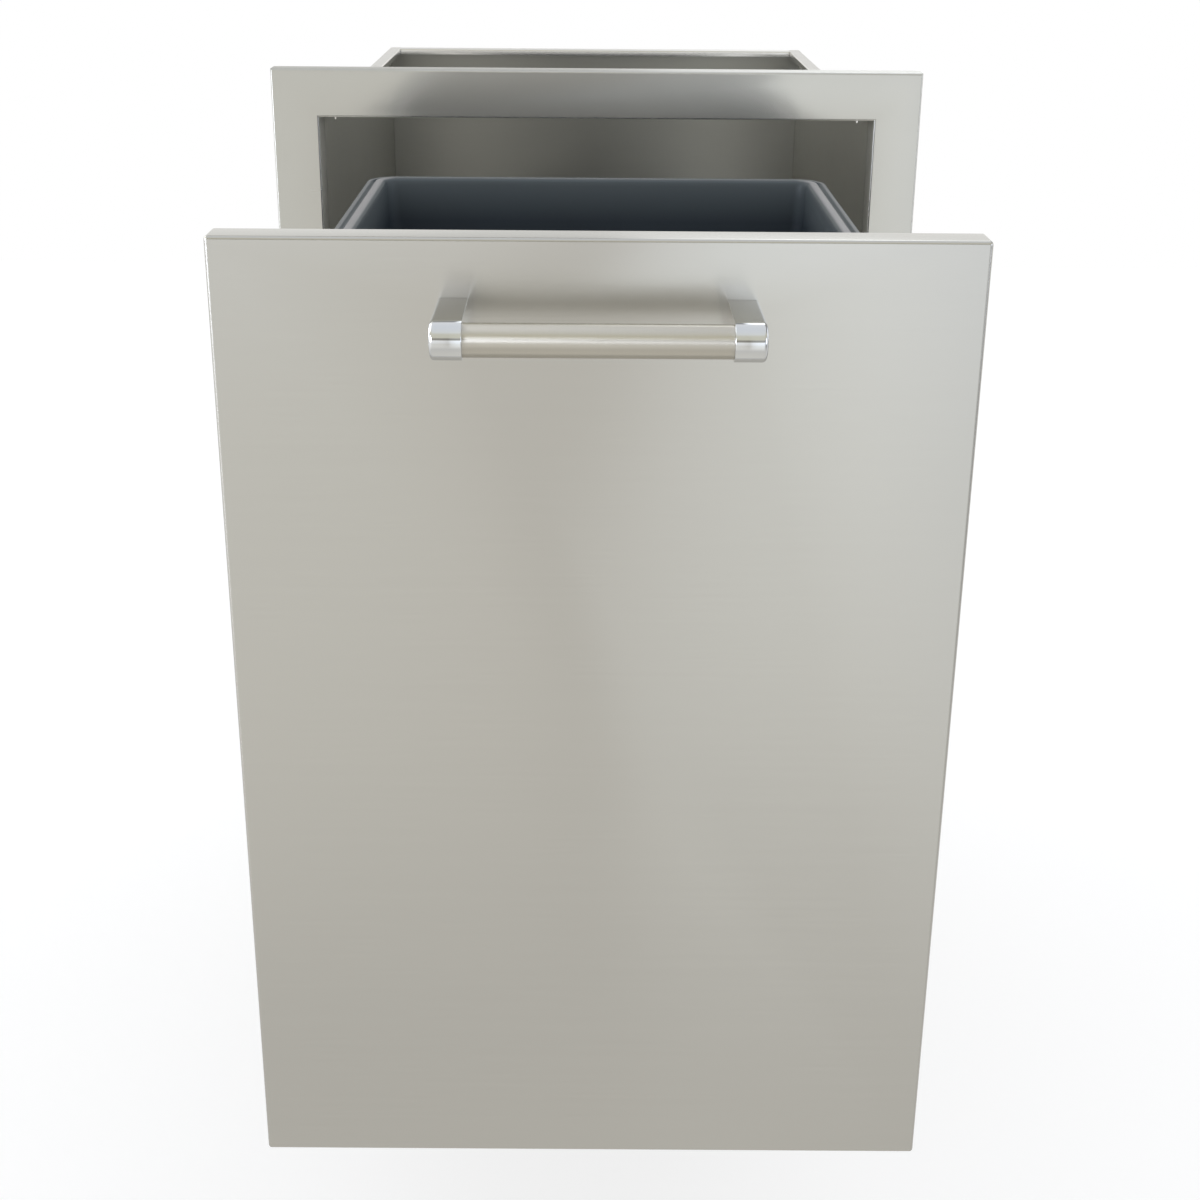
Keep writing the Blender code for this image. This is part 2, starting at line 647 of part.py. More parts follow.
def make_slide(label, side, movers):
    outer_end = SLIDE_BACK + SEAT_GAP + BUMPER_LENGTH
    points = to_wall(slide_outer_outline())
    outer = as_mesh(outline(f"slide_outer_{label}", points, "XZ", SLIDE_FRONT, outer_end, ZINC, None, side))
    countersink(outer, side, None, SLIDE_FACE - SLIDE_SHEET, SLIDE_FACE, f"slide_outer_{label}")
    middle_parent = movers[f"middle_{label}"]
    points = to_wall(slide_middle_outline())
    middle = as_mesh(
        outline(f"slide_middle_{label}", points, "XZ", SLIDE_FRONT, SLIDE_BACK, ZINC, middle_parent, side)
    )
    low, high = sorted((side * (SLIDE_FACE - MIDDLE_U + SEAT_GAP), side * (SLIDE_FACE - INNER_CAGE_U)))
    access = rods(slide_holes(), "X", FLAT_HEAD_RADIUS * 2, low, high, 16)
    boolean(middle, add_cutter(f"middle_access_{label}", access, middle_parent))
    drawer = movers["drawer"]
    points = to_wall(slide_inner_outline())
    inner = as_mesh(
        outline(f"slide_inner_{label}", points, "XZ", SLIDE_FRONT, SLIDE_BACK, ZINC, drawer, side)
    )
    face = SLIDE_FACE - SLIDE_DEPTH
    countersink(inner, side, drawer, face + SLIDE_SHEET, face, f"slide_inner_{label}")
    arm = OUTER_BALL_U + RACE_RADIUS - SEAT_GAP - OUTER_CAGE_U
    make_cage(
        f"ball_cage_outer_{label}", OUTER_CAGE_U, OUTER_BALL_U, OUTER_BALL_V, arm,
        movers[f"cage_outer_{label}"], side,
    )
    arm = INNER_BALL_U + RACE_RADIUS - SEAT_GAP - INNER_CAGE_U
    make_cage(
        f"ball_cage_inner_{label}", INNER_CAGE_U, INNER_BALL_U, INNER_BALL_V, arm,
        movers[f"cage_inner_{label}"], side,
    )
    bumper = box_mesh(
        (SLIDE_FACE - SLIDE_SHEET - SEAT_GAP - BUMPER_DEPTH, SLIDE_BACK + SEAT_GAP, SLIDE_Z - BUMPER_HEIGHT),
        (SLIDE_FACE - SLIDE_SHEET - SEAT_GAP, outer_end, SLIDE_Z + BUMPER_HEIGHT),
    )
    corners = [e for e in bumper.edges if abs(e.verts[0].co.x - e.verts[1].co.x) > 1e-6]
    bmesh.ops.bevel(
        bumper, geom=corners, offset=BUMPER_LENGTH / 4, offset_type="OFFSET", segments=2,
        profile=0.5, affect="EDGES", material=-1,
    )
    mesh_part(f"slide_stop_{label}", bumper, RUBBER, side=side)
    for number, place in enumerate(SLIDE_SCREW_PLACES, 1):
        y = SLIDE_FRONT + place
        grip = SLIDE_SHEET + SEAT_GAP + SHEET
        at = (side * (SLIDE_FACE - SLIDE_SHEET), y, SLIDE_Z)
        flat_screw(f"wall_screw_{label}_{number}", at, (-side, 0, 0), grip, None)
        grip = SLIDE_SHEET + SEAT_GAP + TRAY_SHEET
        at = (side * (face + SLIDE_SHEET), y, SLIDE_Z)
        flat_screw(f"tray_screw_{label}_{number}", at, (side, 0, 0), grip, drawer)


def make_panel(drawer):
    """The hollow front: a skin with its edges turned back, and a liner closed inside them."""
    bm = box_mesh((-PANEL_HALF, PANEL_FRONT, PANEL_BOTTOM), (PANEL_HALF, PANEL_BACK, PANEL_TOP))
    bmesh.ops.delete(bm, geom=faces_towards(bm, (0, 1, 0)), context="FACES_ONLY")
    round_folds(bm, PANEL_BEND + PANEL_SHEET * 0.5, 3)
    skin = mesh_part("panel_skin", bm, STEEL, drawer, smooth=True)
    thicken(skin, PANEL_SHEET)
    holes = [(side * POST_CENTRES / 2, BAR_Z) for side in (-1, 1)]
    radius = HANDLE_SCREW_RADIUS + SCREW_PLAY
    cutter = rods(holes, "Y", radius, PANEL_FRONT - PANEL_SHEET, PANEL_FRONT + PANEL_SHEET * 2)
    boolean(skin, add_cutter("panel_holes", cutter, drawer))

    inset = PANEL_SHEET + SEAT_GAP
    half = PANEL_HALF - inset
    bm = box_mesh(
        (-half, PANEL_BACK - LINER_FLANGE, PANEL_BOTTOM + inset), (half, PANEL_BACK, PANEL_TOP - inset)
    )
    bmesh.ops.delete(bm, geom=faces_towards(bm, (0, -1, 0)), context="FACES_ONLY")
    round_folds(bm, PANEL_BEND + PANEL_SHEET * 0.5, 2)
    liner = mesh_part("panel_liner", bm, STEEL, drawer)
    thicken(liner, PANEL_SHEET)
    places = [(side * bracket_hole_x(), z) for side in (-1, 1) for z in bracket_panel_z()]
    places += [(x, tray_screw_z()) for x in TRAY_SCREW_PLACES]
    radius = SCREW_RADIUS + SCREW_PLAY
    cutter = rods(places, "Y", radius, PANEL_BACK - PANEL_SHEET * 2, PANEL_BACK + PANEL_SHEET)
    boolean(liner, add_cutter("liner_holes", cutter, drawer))

    back = PANEL_FRONT + PANEL_SHEET + SEAT_GAP
    bm = box_mesh(
        (-BACKING_WIDTH / 2, back, BAR_Z - BACKING_HEIGHT / 2),
        (BACKING_WIDTH / 2, back + BACKING_THICKNESS, BAR_Z + BACKING_HEIGHT / 2),
    )
    plate = mesh_part("handle_backing_plate", bm, STEEL, drawer)
    radius = HANDLE_SCREW_RADIUS + SCREW_PLAY
    cutter = rods(holes, "Y", radius, back - SHEET, back + BACKING_THICKNESS + SHEET)
    boolean(plate, add_cutter("backing_holes", cutter, drawer))
    for label, side in SIDES:
        head = (side * POST_CENTRES / 2, back + BACKING_THICKNESS + SEAT_GAP, BAR_Z)
        grip = head[1] - PANEL_FRONT + HANDLE_SCREW_GRIP
        pan_screw(f"handle_screw_{label}", head, (0, 1, 0), grip, drawer, HANDLE_SCREW_RADIUS)


def make_handle(drawer):
    """A round bar in two cast posts, each flat above and below and round in front."""
    foot = PANEL_FRONT - SEAT_GAP
    nose = arc((BAR_Y, BAR_Z), POST_RADIUS, 90, 270, 14)
    profile = [(foot, BAR_Z + POST_RADIUS)] + nose + [(foot, BAR_Z - POST_RADIUS)]
    inner_x = POST_CENTRES / 2 - POST_WIDTH / 2
    outer_x = POST_CENTRES / 2 + POST_WIDTH / 2
    for label, side in SIDES:
        post = as_mesh(outline(f"handle_post_{label}", profile, "YZ", inner_x, outer_x, CHROME, drawer, side))
        bm = bmesh.new()
        bm.from_mesh(post.data)
        bmesh.ops.dissolve_limit(bm, angle_limit=0.01, verts=bm.verts, edges=bm.edges)
        ends = [face for face in bm.faces if abs(face.normal.z) > 0.99]
        outer_face = max(ends, key=lambda face: face.calc_center_median().z * side)
        foot_edge = [e for e in outer_face.edges if all(abs(v.co.x - foot) > 1e-5 for v in e.verts)]
        foot_edge += [e for e in outer_face.edges if sum(abs(v.co.x - foot) < 1e-5 for v in e.verts) == 1]
        bmesh.ops.bevel(
            bm, geom=foot_edge, offset=POST_EDGE, offset_type="OFFSET", segments=3,
            profile=0.5, affect="EDGES", clamp_overlap=True, material=-1,
        )
        bm.to_mesh(post.data)
        bm.free()
        post.data.shade_smooth()
        post.data.set_sharp_from_angle(angle=math.radians(30))
        low, high = sorted((side * (inner_x - SHEET), side * (inner_x + SOCKET_DEPTH)))
        socket = rods([(BAR_Y, BAR_Z)], "X", BAR_RADIUS + SEAT_GAP, low, high, 24)
        boolean(post, add_cutter(f"bar_socket_{label}", socket, drawer))
        hole = rods(
            [(side * POST_CENTRES / 2, BAR_Z)], "Y", HANDLE_SCREW_RADIUS + SCREW_PLAY,
            foot - HANDLE_SCREW_GRIP - SEAT_GAP, foot + SHEET, 12,
        )
        boolean(post, add_cutter(f"post_thread_{label}", hole, drawer))
    half = inner_x + SOCKET_DEPTH - SEAT_GAP
    bar = rods([(BAR_Y, BAR_Z)], "X", BAR_RADIUS, -half, half, 24)
    mesh_part("handle_bar", bar, STEEL, drawer, smooth=True)


def tray_screw_z():
    return TRAY_BOTTOM + TRAY_SCREW_LEVEL


def bracket_hole_x():
    return BRACKET_OUTER - BRACKET_HOLE_INSET


def bracket_panel_z():
    return [TRAY_BOTTOM + place for place in BRACKET_PANEL_PLACES]


def bracket_wall_z():
    return TRAY_BOTTOM + TRAY_HEIGHT - TRAY_HEM * 2


def make_tray(drawer):
    """The pan between two side walls: its floor, and the front and back walls turned up from it."""
    low = TRAY_FLOOR - TRAY_SHEET
    top = low + TRAY_WALL
    path = [(TRAY_FRONT, top), (TRAY_FRONT, low), (TRAY_BACK, low), (TRAY_BACK, top)]
    strip = bent_strip(path, TRAY_SHEET)
    pan = as_mesh(outline("tray_pan", strip, "YZ", -PAN_HALF, PAN_HALF, STEEL, drawer))
    places = [(x, tray_screw_z()) for x in TRAY_SCREW_PLACES]
    cutter = rods(places, "Y", SCREW_RADIUS + SCREW_PLAY, TRAY_FRONT - SHEET, TRAY_FRONT + TRAY_SHEET * 2)
    boolean(pan, add_cutter("pan_front_holes", cutter, drawer))
    drains = [(x * BIN_WIDTH / 4, BIN_MIDDLE_Y + y * BIN_DEPTH / 4) for x in (-1, 1) for y in (-1, 1)]
    cutter = rods(drains, "Z", DRAIN_RADIUS, low - SHEET, TRAY_FLOOR + SHEET, 12)
    boolean(pan, add_cutter("pan_drains", cutter, drawer))
    for number, x in enumerate(TRAY_SCREW_PLACES, 1):
        place = (x, TRAY_FRONT + TRAY_SHEET + SEAT_GAP, tray_screw_z())
        pan_screw(f"front_screw_{number}", place, (0, 1, 0), TRAY_SHEET + PANEL_SHEET + SCREW_TIP * 2, drawer)
    for label, side in SIDES:
        top = TRAY_BOTTOM + TRAY_HEIGHT
        path = [
            (TRAY_OUTER - TRAY_FLANGE, TRAY_BOTTOM), (TRAY_OUTER, TRAY_BOTTOM),
            (TRAY_OUTER, top - TRAY_SHEET), (TRAY_OUTER + TRAY_HEM, top - TRAY_SHEET),
        ]
        strip = bent_strip(path, TRAY_SHEET)
        wall = as_mesh(outline(f"tray_side_{label}", strip, "XZ", TRAY_FRONT, TRAY_BACK, STEEL, drawer, side))
        places = slide_holes()
        places += [(TRAY_FRONT + place, bracket_wall_z()) for place in BRACKET_WALL_PLACES]
        low_x, high_x = sorted((side * (TRAY_INNER - SHEET), side * (TRAY_OUTER + SHEET)))
        cutter = rods(places, "X", SCREW_RADIUS + SCREW_PLAY, low_x, high_x)
        boolean(wall, add_cutter(f"tray_side_holes_{label}", cutter, drawer))


def make_bracket(label, side, drawer):
    """A folded gusset that ties the tall panel to the tray's side wall."""
    front = TRAY_FRONT
    wall_top = TRAY_FLOOR - TRAY_SHEET + TRAY_WALL
    clear_y = front + TRAY_SHEET + SEAT_GAP
    fold_low = wall_top + SEAT_GAP * 3
    fold_high = TRAY_BOTTOM + BRACKET_TOP
    rear = front + BRACKET_REACH
    shoulder = TRAY_BOTTOM + TRAY_HEIGHT - TRAY_SHEET - SEAT_GAP * 4
    foot = SLIDE_Z + BRACKET_FOOT_RISE
    bm = bmesh.new()
    corners = [
        (front, fold_low), (front, fold_high), (front + BRACKET_NOSE, fold_high), (rear, shoulder),
        (rear, foot), (clear_y, foot), (clear_y, fold_low),
    ]
    ring = [bm.verts.new((BRACKET_OUTER, y, z)) for y, z in corners]
    bm.faces.new(ring)
    fold = [e for e in bm.edges if all(abs(v.co.y - front) < 1e-6 for v in e.verts)]
    flange = bmesh.ops.extrude_edge_only(bm, edges=fold)
    made = [item for item in flange["geom"] if isinstance(item, bmesh.types.BMVert)]
    bmesh.ops.translate(bm, vec=(-BRACKET_FLANGE, 0, 0), verts=made)
    bmesh.ops.recalc_face_normals(bm, faces=bm.faces)
    if not faces_towards(bm, (1, 0, 0)):
        bmesh.ops.reverse_faces(bm, faces=bm.faces)
    round_folds(bm, BEND, 2)
    bracket = mesh_part(f"panel_bracket_{label}", bm, STEEL, drawer, side=side)
    thicken(bracket, BRACKET_SHEET)
    places = [(TRAY_FRONT + place, bracket_wall_z()) for place in BRACKET_WALL_PLACES]
    low, high = sorted((side * (BRACKET_OUTER + SHEET), side * (BRACKET_OUTER - BRACKET_SHEET * 2)))
    cutter = rods(places, "X", SCREW_RADIUS + SCREW_PLAY, low, high)
    boolean(bracket, add_cutter(f"bracket_wall_holes_{label}", cutter, drawer))
    places = [(side * bracket_hole_x(), z) for z in bracket_panel_z()]
    cutter = rods(places, "Y", SCREW_RADIUS + SCREW_PLAY, front - SHEET, front + BRACKET_SHEET * 2)
    boolean(bracket, add_cutter(f"bracket_panel_holes_{label}", cutter, drawer))
    for number, z in enumerate(bracket_panel_z(), 1):
        place = (side * bracket_hole_x(), front + BRACKET_SHEET + SEAT_GAP, z)
        grip = BRACKET_SHEET + PANEL_SHEET + SCREW_TIP * 2
        pan_screw(f"bracket_panel_screw_{label}_{number}", place, (0, 1, 0), grip, drawer)
    for number, reach in enumerate(BRACKET_WALL_PLACES, 1):
        x = side * (BRACKET_OUTER - BRACKET_SHEET - SEAT_GAP)
        place = (x, TRAY_FRONT + reach, bracket_wall_z())
        grip = BRACKET_SHEET + TRAY_SHEET + SCREW_TIP + SEAT_GAP * 2
        pan_screw(f"bracket_wall_screw_{label}_{number}", place, (-side, 0, 0), grip, drawer)


def bin_base():
    """Half the width and half the depth of the bin's outside at its foot."""
    inset = BIN_OVERHANG + BIN_NARROWING
    return BIN_WIDTH / 2 - inset, BIN_DEPTH / 2 - inset


def make_cradle(drawer):
    """A low fence on the tray's floor, bent round the back and sides of the bin's foot."""
    half, deep = bin_base()
    half, deep = half + CRADLE_CLEARANCE, deep + CRADLE_CLEARANCE
    front, back = BIN_MIDDLE_Y - deep, BIN_MIDDLE_Y + deep
    path = [(half, front), (half, back), (-half, back), (-half, front)]
    strip = bent_strip([(-x, y) for x, y in path], TRAY_SHEET, CRADLE_CORNER, 4)
    low = TRAY_FLOOR + SEAT_GAP
    outline("bin_cradle", strip, "XY", low, low + CRADLE_HEIGHT, STEEL, drawer)


def rounded_rectangle(half_x, half_y, radius, z, steps=5):
    """A ring of points, the same number at any size."""
    ring = []
    for start, sx, sy in ((0, 1, 1), (90, -1, 1), (180, -1, -1), (270, 1, -1)):
        centre = (sx * (half_x - radius), sy * (half_y - radius))
        ring += [(x, y, z) for x, y in arc(centre, radius, start, start + 90, steps)]
    return ring


def make_bin(carrier):
    """A tapered bin lofted through rounded rectangles, with a rolled rim that has two ridges."""
    foot_x, foot_y = bin_base()

    def rise(z):
        return (z - BIN_BOTTOM) / (BIN_TOP - BIN_BOTTOM)

    def wall(z):
        return BIN_NARROWING * rise(z)

    def corner(grow, z):
        """The corners get tighter towards the top."""
        return BIN_FOOT_CORNER + (BIN_NECK_CORNER - BIN_FOOT_CORNER) * rise(z) + grow - wall(z)

    # Each row is how far outside the foot, and how high
    quarter = [math.pi / 6 * step for step in range(4)]
    outside = [
        (BIN_FOOT_ROUND * (math.sin(a) - 1), BIN_BOTTOM + BIN_FOOT_ROUND * (1 - math.cos(a))) for a in quarter
    ]
    skirt = BIN_TOP - BIN_SKIRT
    under_rim = BIN_TOP - BIN_RIM_DEPTH
    neck = wall(BIN_TOP) - BIN_WALL
    edge = neck + BIN_WALL + BIN_OVERHANG
    outside += [
        (wall(under_rim), under_rim), (edge - BIN_RIM_SHEET, under_rim), (edge - BIN_RIM_SHEET, skirt),
        (edge, skirt), (edge, BIN_TOP - BIN_RIM_ROUND),
        (edge - BIN_RIM_ROUND / 2, BIN_TOP - OUTER_RIDGE_DROP),
        (edge - BIN_OUTER_RIDGE, BIN_TOP - OUTER_RIDGE_DROP),
        (edge - BIN_OUTER_RIDGE - BIN_GROOVE / 2, BIN_TOP - BIN_GROOVE),
        (edge - BIN_OUTER_RIDGE - BIN_GROOVE, BIN_TOP - BIN_GROOVE),
        (edge - BIN_OUTER_RIDGE - BIN_GROOVE - BIN_GROOVE_SLOPE, BIN_TOP),
        (neck + BIN_RIM_ROUND, BIN_TOP), (neck + BIN_RIM_ROUND / 3, BIN_TOP - BIN_RIM_ROUND / 2),
        (neck, BIN_TOP - BIN_RIM_ROUND * 1.5),
    ]
    floor = BIN_BOTTOM + BIN_WALL
    inside = [(wall(floor + BIN_FOOT_ROUND) - BIN_WALL, floor + BIN_FOOT_ROUND)]
    inside += [
        (BIN_FOOT_ROUND * (math.sin(a) - 1) - BIN_WALL, floor + BIN_FOOT_ROUND * (1 - math.cos(a)))
        for a in quarter[2::-2]
    ]
    rings = [
        rounded_rectangle(foot_x + grow, foot_y + grow, corner(grow, z), z - BIN_BOTTOM)
        for grow, z in outside + inside
    ]
    made = mesh_part("trash_bin", loft(rings, False), PLASTIC, carrier, smooth=True)
    made.location = (0, BIN_MIDDLE_Y, BIN_BOTTOM)


def make_movers():
    """One empty for each moving body, on its slide's line, where the pulled-out drawer puts it."""
    made = {"drawer": empty("drawer_runner", (0, -PULLED_OUT, 0))}
    made["bin"] = empty("bin_carrier", (0, -PULLED_OUT, 0))
    for label, _ in SIDES:
        made[f"middle_{label}"] = empty(f"middle_runner_{label}", (0, -PULLED_OUT / 2, 0))
        made[f"cage_outer_{label}"] = empty(f"outer_cage_runner_{label}", (0, -PULLED_OUT / 4, 0))
        made[f"cage_inner_{label}"] = empty(f"inner_cage_runner_{label}", (0, -PULLED_OUT * 3 / 4, 0))
    return made


clear_scene()
PARTS = collection("pull_out_trash_drawer")
CUTTERS = collection("cutters")
STEEL = material("brushed stainless", (0.62, 0.61, 0.58), 0.34, 1.0)
CHROME = material("polished chrome", (0.80, 0.80, 0.80), 0.08, 1.0)
ZINC = material("zinc plate", (0.66, 0.67, 0.68), 0.30, 1.0)
BRIGHT = material("bearing steel", (0.75, 0.75, 0.76), 0.18, 1.0)
RUBBER = material("black rubber", (0.03, 0.03, 0.03), 0.75, 0.0)
PLASTIC = material("charcoal plastic", (0.035, 0.045, 0.055), 0.42, 0.0)

MOVERS = make_movers()
make_face_frame()
make_housing_back()
make_housing_floor()
make_panel(MOVERS["drawer"])
make_handle(MOVERS["drawer"])
make_tray(MOVERS["drawer"])
make_cradle(MOVERS["drawer"])
for LABEL, SIDE in SIDES:
    make_housing_side(LABEL, SIDE)
    make_slide(LABEL, SIDE, MOVERS)
    make_bracket(LABEL, SIDE, MOVERS["drawer"])
make_bin(MOVERS["bin"])
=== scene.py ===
"""Looks of the pull-out trash drawer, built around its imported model.

Lengths are in metres. X runs to the right, Y into the wall and Z up, and the object's front faces -Y.
The drawer stands where the photograph shows it, and each piece rides on the body that carries it.
"""

import json
import math

import bmesh
import bpy
from bmesh.types import BMEdge, BMVert
from mathutils import Matrix, Vector

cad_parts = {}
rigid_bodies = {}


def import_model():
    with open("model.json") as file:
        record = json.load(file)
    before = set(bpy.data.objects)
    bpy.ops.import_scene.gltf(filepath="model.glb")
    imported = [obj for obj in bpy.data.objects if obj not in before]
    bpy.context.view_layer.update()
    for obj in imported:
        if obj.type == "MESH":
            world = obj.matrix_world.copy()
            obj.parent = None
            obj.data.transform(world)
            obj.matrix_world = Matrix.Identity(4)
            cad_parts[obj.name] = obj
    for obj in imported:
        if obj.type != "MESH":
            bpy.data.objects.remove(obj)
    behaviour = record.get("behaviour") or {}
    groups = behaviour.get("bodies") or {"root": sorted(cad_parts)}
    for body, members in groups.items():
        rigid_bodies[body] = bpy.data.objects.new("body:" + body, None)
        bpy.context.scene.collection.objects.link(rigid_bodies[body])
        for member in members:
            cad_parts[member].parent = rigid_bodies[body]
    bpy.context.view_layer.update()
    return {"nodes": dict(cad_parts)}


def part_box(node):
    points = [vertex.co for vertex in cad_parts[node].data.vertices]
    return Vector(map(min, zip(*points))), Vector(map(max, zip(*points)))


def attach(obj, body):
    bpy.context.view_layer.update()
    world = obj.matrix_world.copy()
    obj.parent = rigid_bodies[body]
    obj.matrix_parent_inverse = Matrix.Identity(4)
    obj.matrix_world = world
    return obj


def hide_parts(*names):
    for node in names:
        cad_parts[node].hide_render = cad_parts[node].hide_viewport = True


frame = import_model()

# Sheet metal of the frame, the front and the housing
SHEET = 0.0012
FRAME_RAIL = 0.0365
FRAME_BACK_LIP = 0.012
JAMB_DEPTH = 0.030
FRAME_DEPTH = 0.0225
FRAME_FOLD = 0.0018
PANEL_SHEET = 0.0010
PANEL_FOLD = 0.0022

# Handle
POST_CENTRES = 0.160
POST_RADIUS = 0.0107
BAR_RADIUS = 0.0092
SOCKET_DEPTH = 0.011
POST_EDGE = 0.0024
POST_INNER_EDGE = 0.0004
HANDLE_HOLE = 0.0028
SOCKET_GAP = 0.0001
BAR_EDGE = 0.0006
ROUND_SIDES = 72
BACKING_CORNER = 0.004

# Bin
BIN_WALL = 0.0024
BIN_NARROWING = 0.0145
BIN_FOOT_CORNER = 0.028
BIN_NECK_CORNER = 0.011
BIN_FOOT_ROUND = 0.012
BIN_OVERHANG = 0.0130
BIN_SKIRT = 0.014
BIN_RIM_SHEET = 0.0024
BIN_RIM_DEPTH = 0.0043
BIN_RIM_ROUND = 0.0032
BIN_OUTER_RIDGE = 0.0042
BIN_GROOVE = 0.0022
BIN_GROOVE_SLOPE = 0.0015
OUTER_RIDGE_DROP = 0.0006
BIN_EDGE = 0.0006
CORNER_POINTS = 14
QUARTER_STEPS = 6

# Housing
RIM_LIP = 0.0062
HOUSING_FOLD = 0.0018
SEAT_GAP = 0.0003
# Where the flanges of its top and floor start along Y, and where the inner face of its back is
FLANGE_START = 0.0085
BACK_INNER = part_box("housing_back")[1].y - SHEET

# Telescopic slides. U runs from the housing wall to the drawer and V up, from the slide's middle.
SLIDE_SHEET = 0.0013
SLIDE_DEPTH = 0.0127
BALL_RADIUS = 0.00175
RACE_RADIUS = 0.0020
OUTER_BALL = (0.0070, 0.01965)
INNER_BALL = (0.0080, 0.01435)
MIDDLE_FLAT = 0.01765
MIDDLE_U = 0.0025
OUTER_CAGE_U = 0.0016
INNER_CAGE_U = 0.0041
MIDDLE_TIP_U = 0.0108
INNER_TIP_U = 0.0052
CAGE_SHEET = 0.0006
BALLS_IN_ROW = 10
SCREW_HOLE = 0.0023
SCREWS_ALONG = (0.040, 0.250, 0.470)
SLIDE_LOW, SLIDE_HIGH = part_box("slide_outer_right")
SLIDE_FACE = SLIDE_HIGH.x
SLIDE_Z = (SLIDE_LOW.z + SLIDE_HIGH.z) / 2
STOP_EDGE = 0.0005

# Tray, brackets and cradle
TRAY_SHEET = 0.0015
TRAY_FOLD = 0.0020
TRAY_HEM = 0.009
BRACKET_SHEET = 0.0020
BRACKET_NOSE = 0.014
CRADLE_CORNER = 0.016
DRAIN_RADIUS = 0.005

# Screws
SCREW_RADIUS = 0.0020
HANDLE_SCREW_RADIUS = 0.0025
FLAT_HEAD_RADIUS = 0.0032
PAN_HEAD_RADIUS = 0.0038
PAN_HEAD_HEIGHT = 0.0022
HEAD_EDGE = 0.0001
# The curve of a pan head: its reach and its height, as shares of the whole
PAN_DOME = (
    (0, 1), (0.45, 0.985), (0.70, 0.92), (0.86, 0.80), (0.96, 0.60), (1.0, 0.35), (1.0, 0.06), (0.97, 0),
)
TIP_SHARE = 0.6
THREAD_PITCH = 0.0007
THREAD_ROOT = 0.9
THREAD_CREST = 1.09
THREAD_FLANK = 0.4 * THREAD_PITCH
STEPS_PER_TURN = 14
RECESS_REACH = 0.0019
RECESS_WIDTH = 0.00085
RECESS_DEPTH = 0.0013
RECESS_TAPER = 0.45
RECESS_CUTTER = 1.2
FIRST_TURN = 1.2
NEXT_TURN = 0.9

# Places nearer than this are one, and directions whose cosine is above this are the same
SAME_PLACE = 1e-6
SAME_WAY = 0.99
# The least turn between two faces, in radians, at a fold of a sheet, a ridge of the bin and a corner
FOLD_TURN = 0.2
BIN_TURN = 0.35
CORNER_TURN = 0.7

SIDES = (("left", -1), ("right", 1))
BAR_LOW, BAR_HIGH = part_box("handle_bar")
HANDLE_Y = (BAR_LOW.y + BAR_HIGH.y) / 2
HANDLE_Z = (BAR_LOW.z + BAR_HIGH.z) / 2

# The photograph's camera: its place, its angles and its focal length in pixels of a 1200-pixel frame
CAMERA_PLACE = Vector((-0.005394, -1.489590, 0.830485))
CAMERA_PITCH = 0.384409
CAMERA_YAW = 0.001530
CAMERA_ROLL = -0.007362
FOCAL_PIXELS = 1824.04
FRAME_PIXELS = 1200
CENTRE_PIXEL = (588.907, 599.934)
SENSOR_WIDTH = 36.0

# The studio's two sides. The colours of a wall go by height, from 0 straight down to 1 straight up. Its
# shade goes by bearing, from 0 at the left to 1 at the right, and weight is how much it counts by height.
BEFORE = dict(
    wall=(
        (0.0, (0.66, 0.64, 0.58)), (0.10, (0.63, 0.61, 0.56)), (0.18, (0.61, 0.595, 0.555)),
        (0.275, (0.755, 0.74, 0.695)), (0.34, (0.80, 0.79, 0.76)), (0.405, (0.80, 0.795, 0.765)),
        (0.50, (0.93, 0.94, 0.955)), (0.588, (0.98, 0.99, 1.0)), (0.602, (0.34, 0.33, 0.30)),
        (0.69, (0.36, 0.35, 0.32)), (0.70, (0.64, 0.62, 0.51)), (0.85, (0.66, 0.64, 0.54)),
        (0.91, (0.75, 0.76, 0.73)), (1.0, (0.74, 0.76, 0.78)),
    ),
    shade=(
        (0.0, (1.2, 1.2, 1.2)), (0.25, (0.99, 0.98, 0.95)), (0.40, (0.94, 0.93, 0.89)),
        (0.46, (0.90, 0.88, 0.84)), (0.50, (0.80, 0.78, 0.74)), (0.508, (0.80, 0.78, 0.74)),
        (0.528, (1.0, 1.0, 0.99)), (0.56, (1.12, 1.14, 1.14)), (0.61, (1.16, 1.18, 1.19)),
        (0.67, (1.06, 1.08, 1.10)), (0.75, (0.7, 0.7, 0.7)), (1.0, (0.45, 0.45, 0.45)),
    ),
    weight=((0.0, 0.0), (0.19, 0.05), (0.29, 0.55), (0.40, 1.0), (0.69, 1.0), (0.71, 0.2), (1.0, 0.0)),
)
BEHIND = dict(
    wall=(
        (0.0, (0.50, 0.49, 0.46)), (0.45, (0.85, 0.84, 0.82)), (0.51, (0.88, 0.875, 0.85)),
        (0.69, (0.88, 0.88, 0.86)), (0.72, (0.88, 0.88, 0.87)), (0.85, (0.86, 0.86, 0.86)),
        (1.0, (0.74, 0.76, 0.78)),
    ),
    shade=(
        (0.0, (3.2, 3.2, 3.1)), (0.25, (1.0, 0.98, 0.92)), (0.40, (0.40, 0.39, 0.35)),
        (0.505, (0.32, 0.32, 0.31)), (0.53, (1.6, 1.63, 1.65)), (0.60, (2.6, 2.67, 2.7)),
        (0.66, (1.6, 1.64, 1.66)), (0.75, (0.4, 0.4, 0.4)), (1.0, (0.3, 0.3, 0.3)),
    ),
    weight=((0.68, 0.0), (0.73, 1.0), (0.85, 1.0), (0.90, 0.0)),
)
SHADE_BEARING = math.radians(60)
SIDES_MEET = 0.05
WHITE = (1, 1, 1)
ROOM_LIGHT = (0.97, 0.98, 1.0)
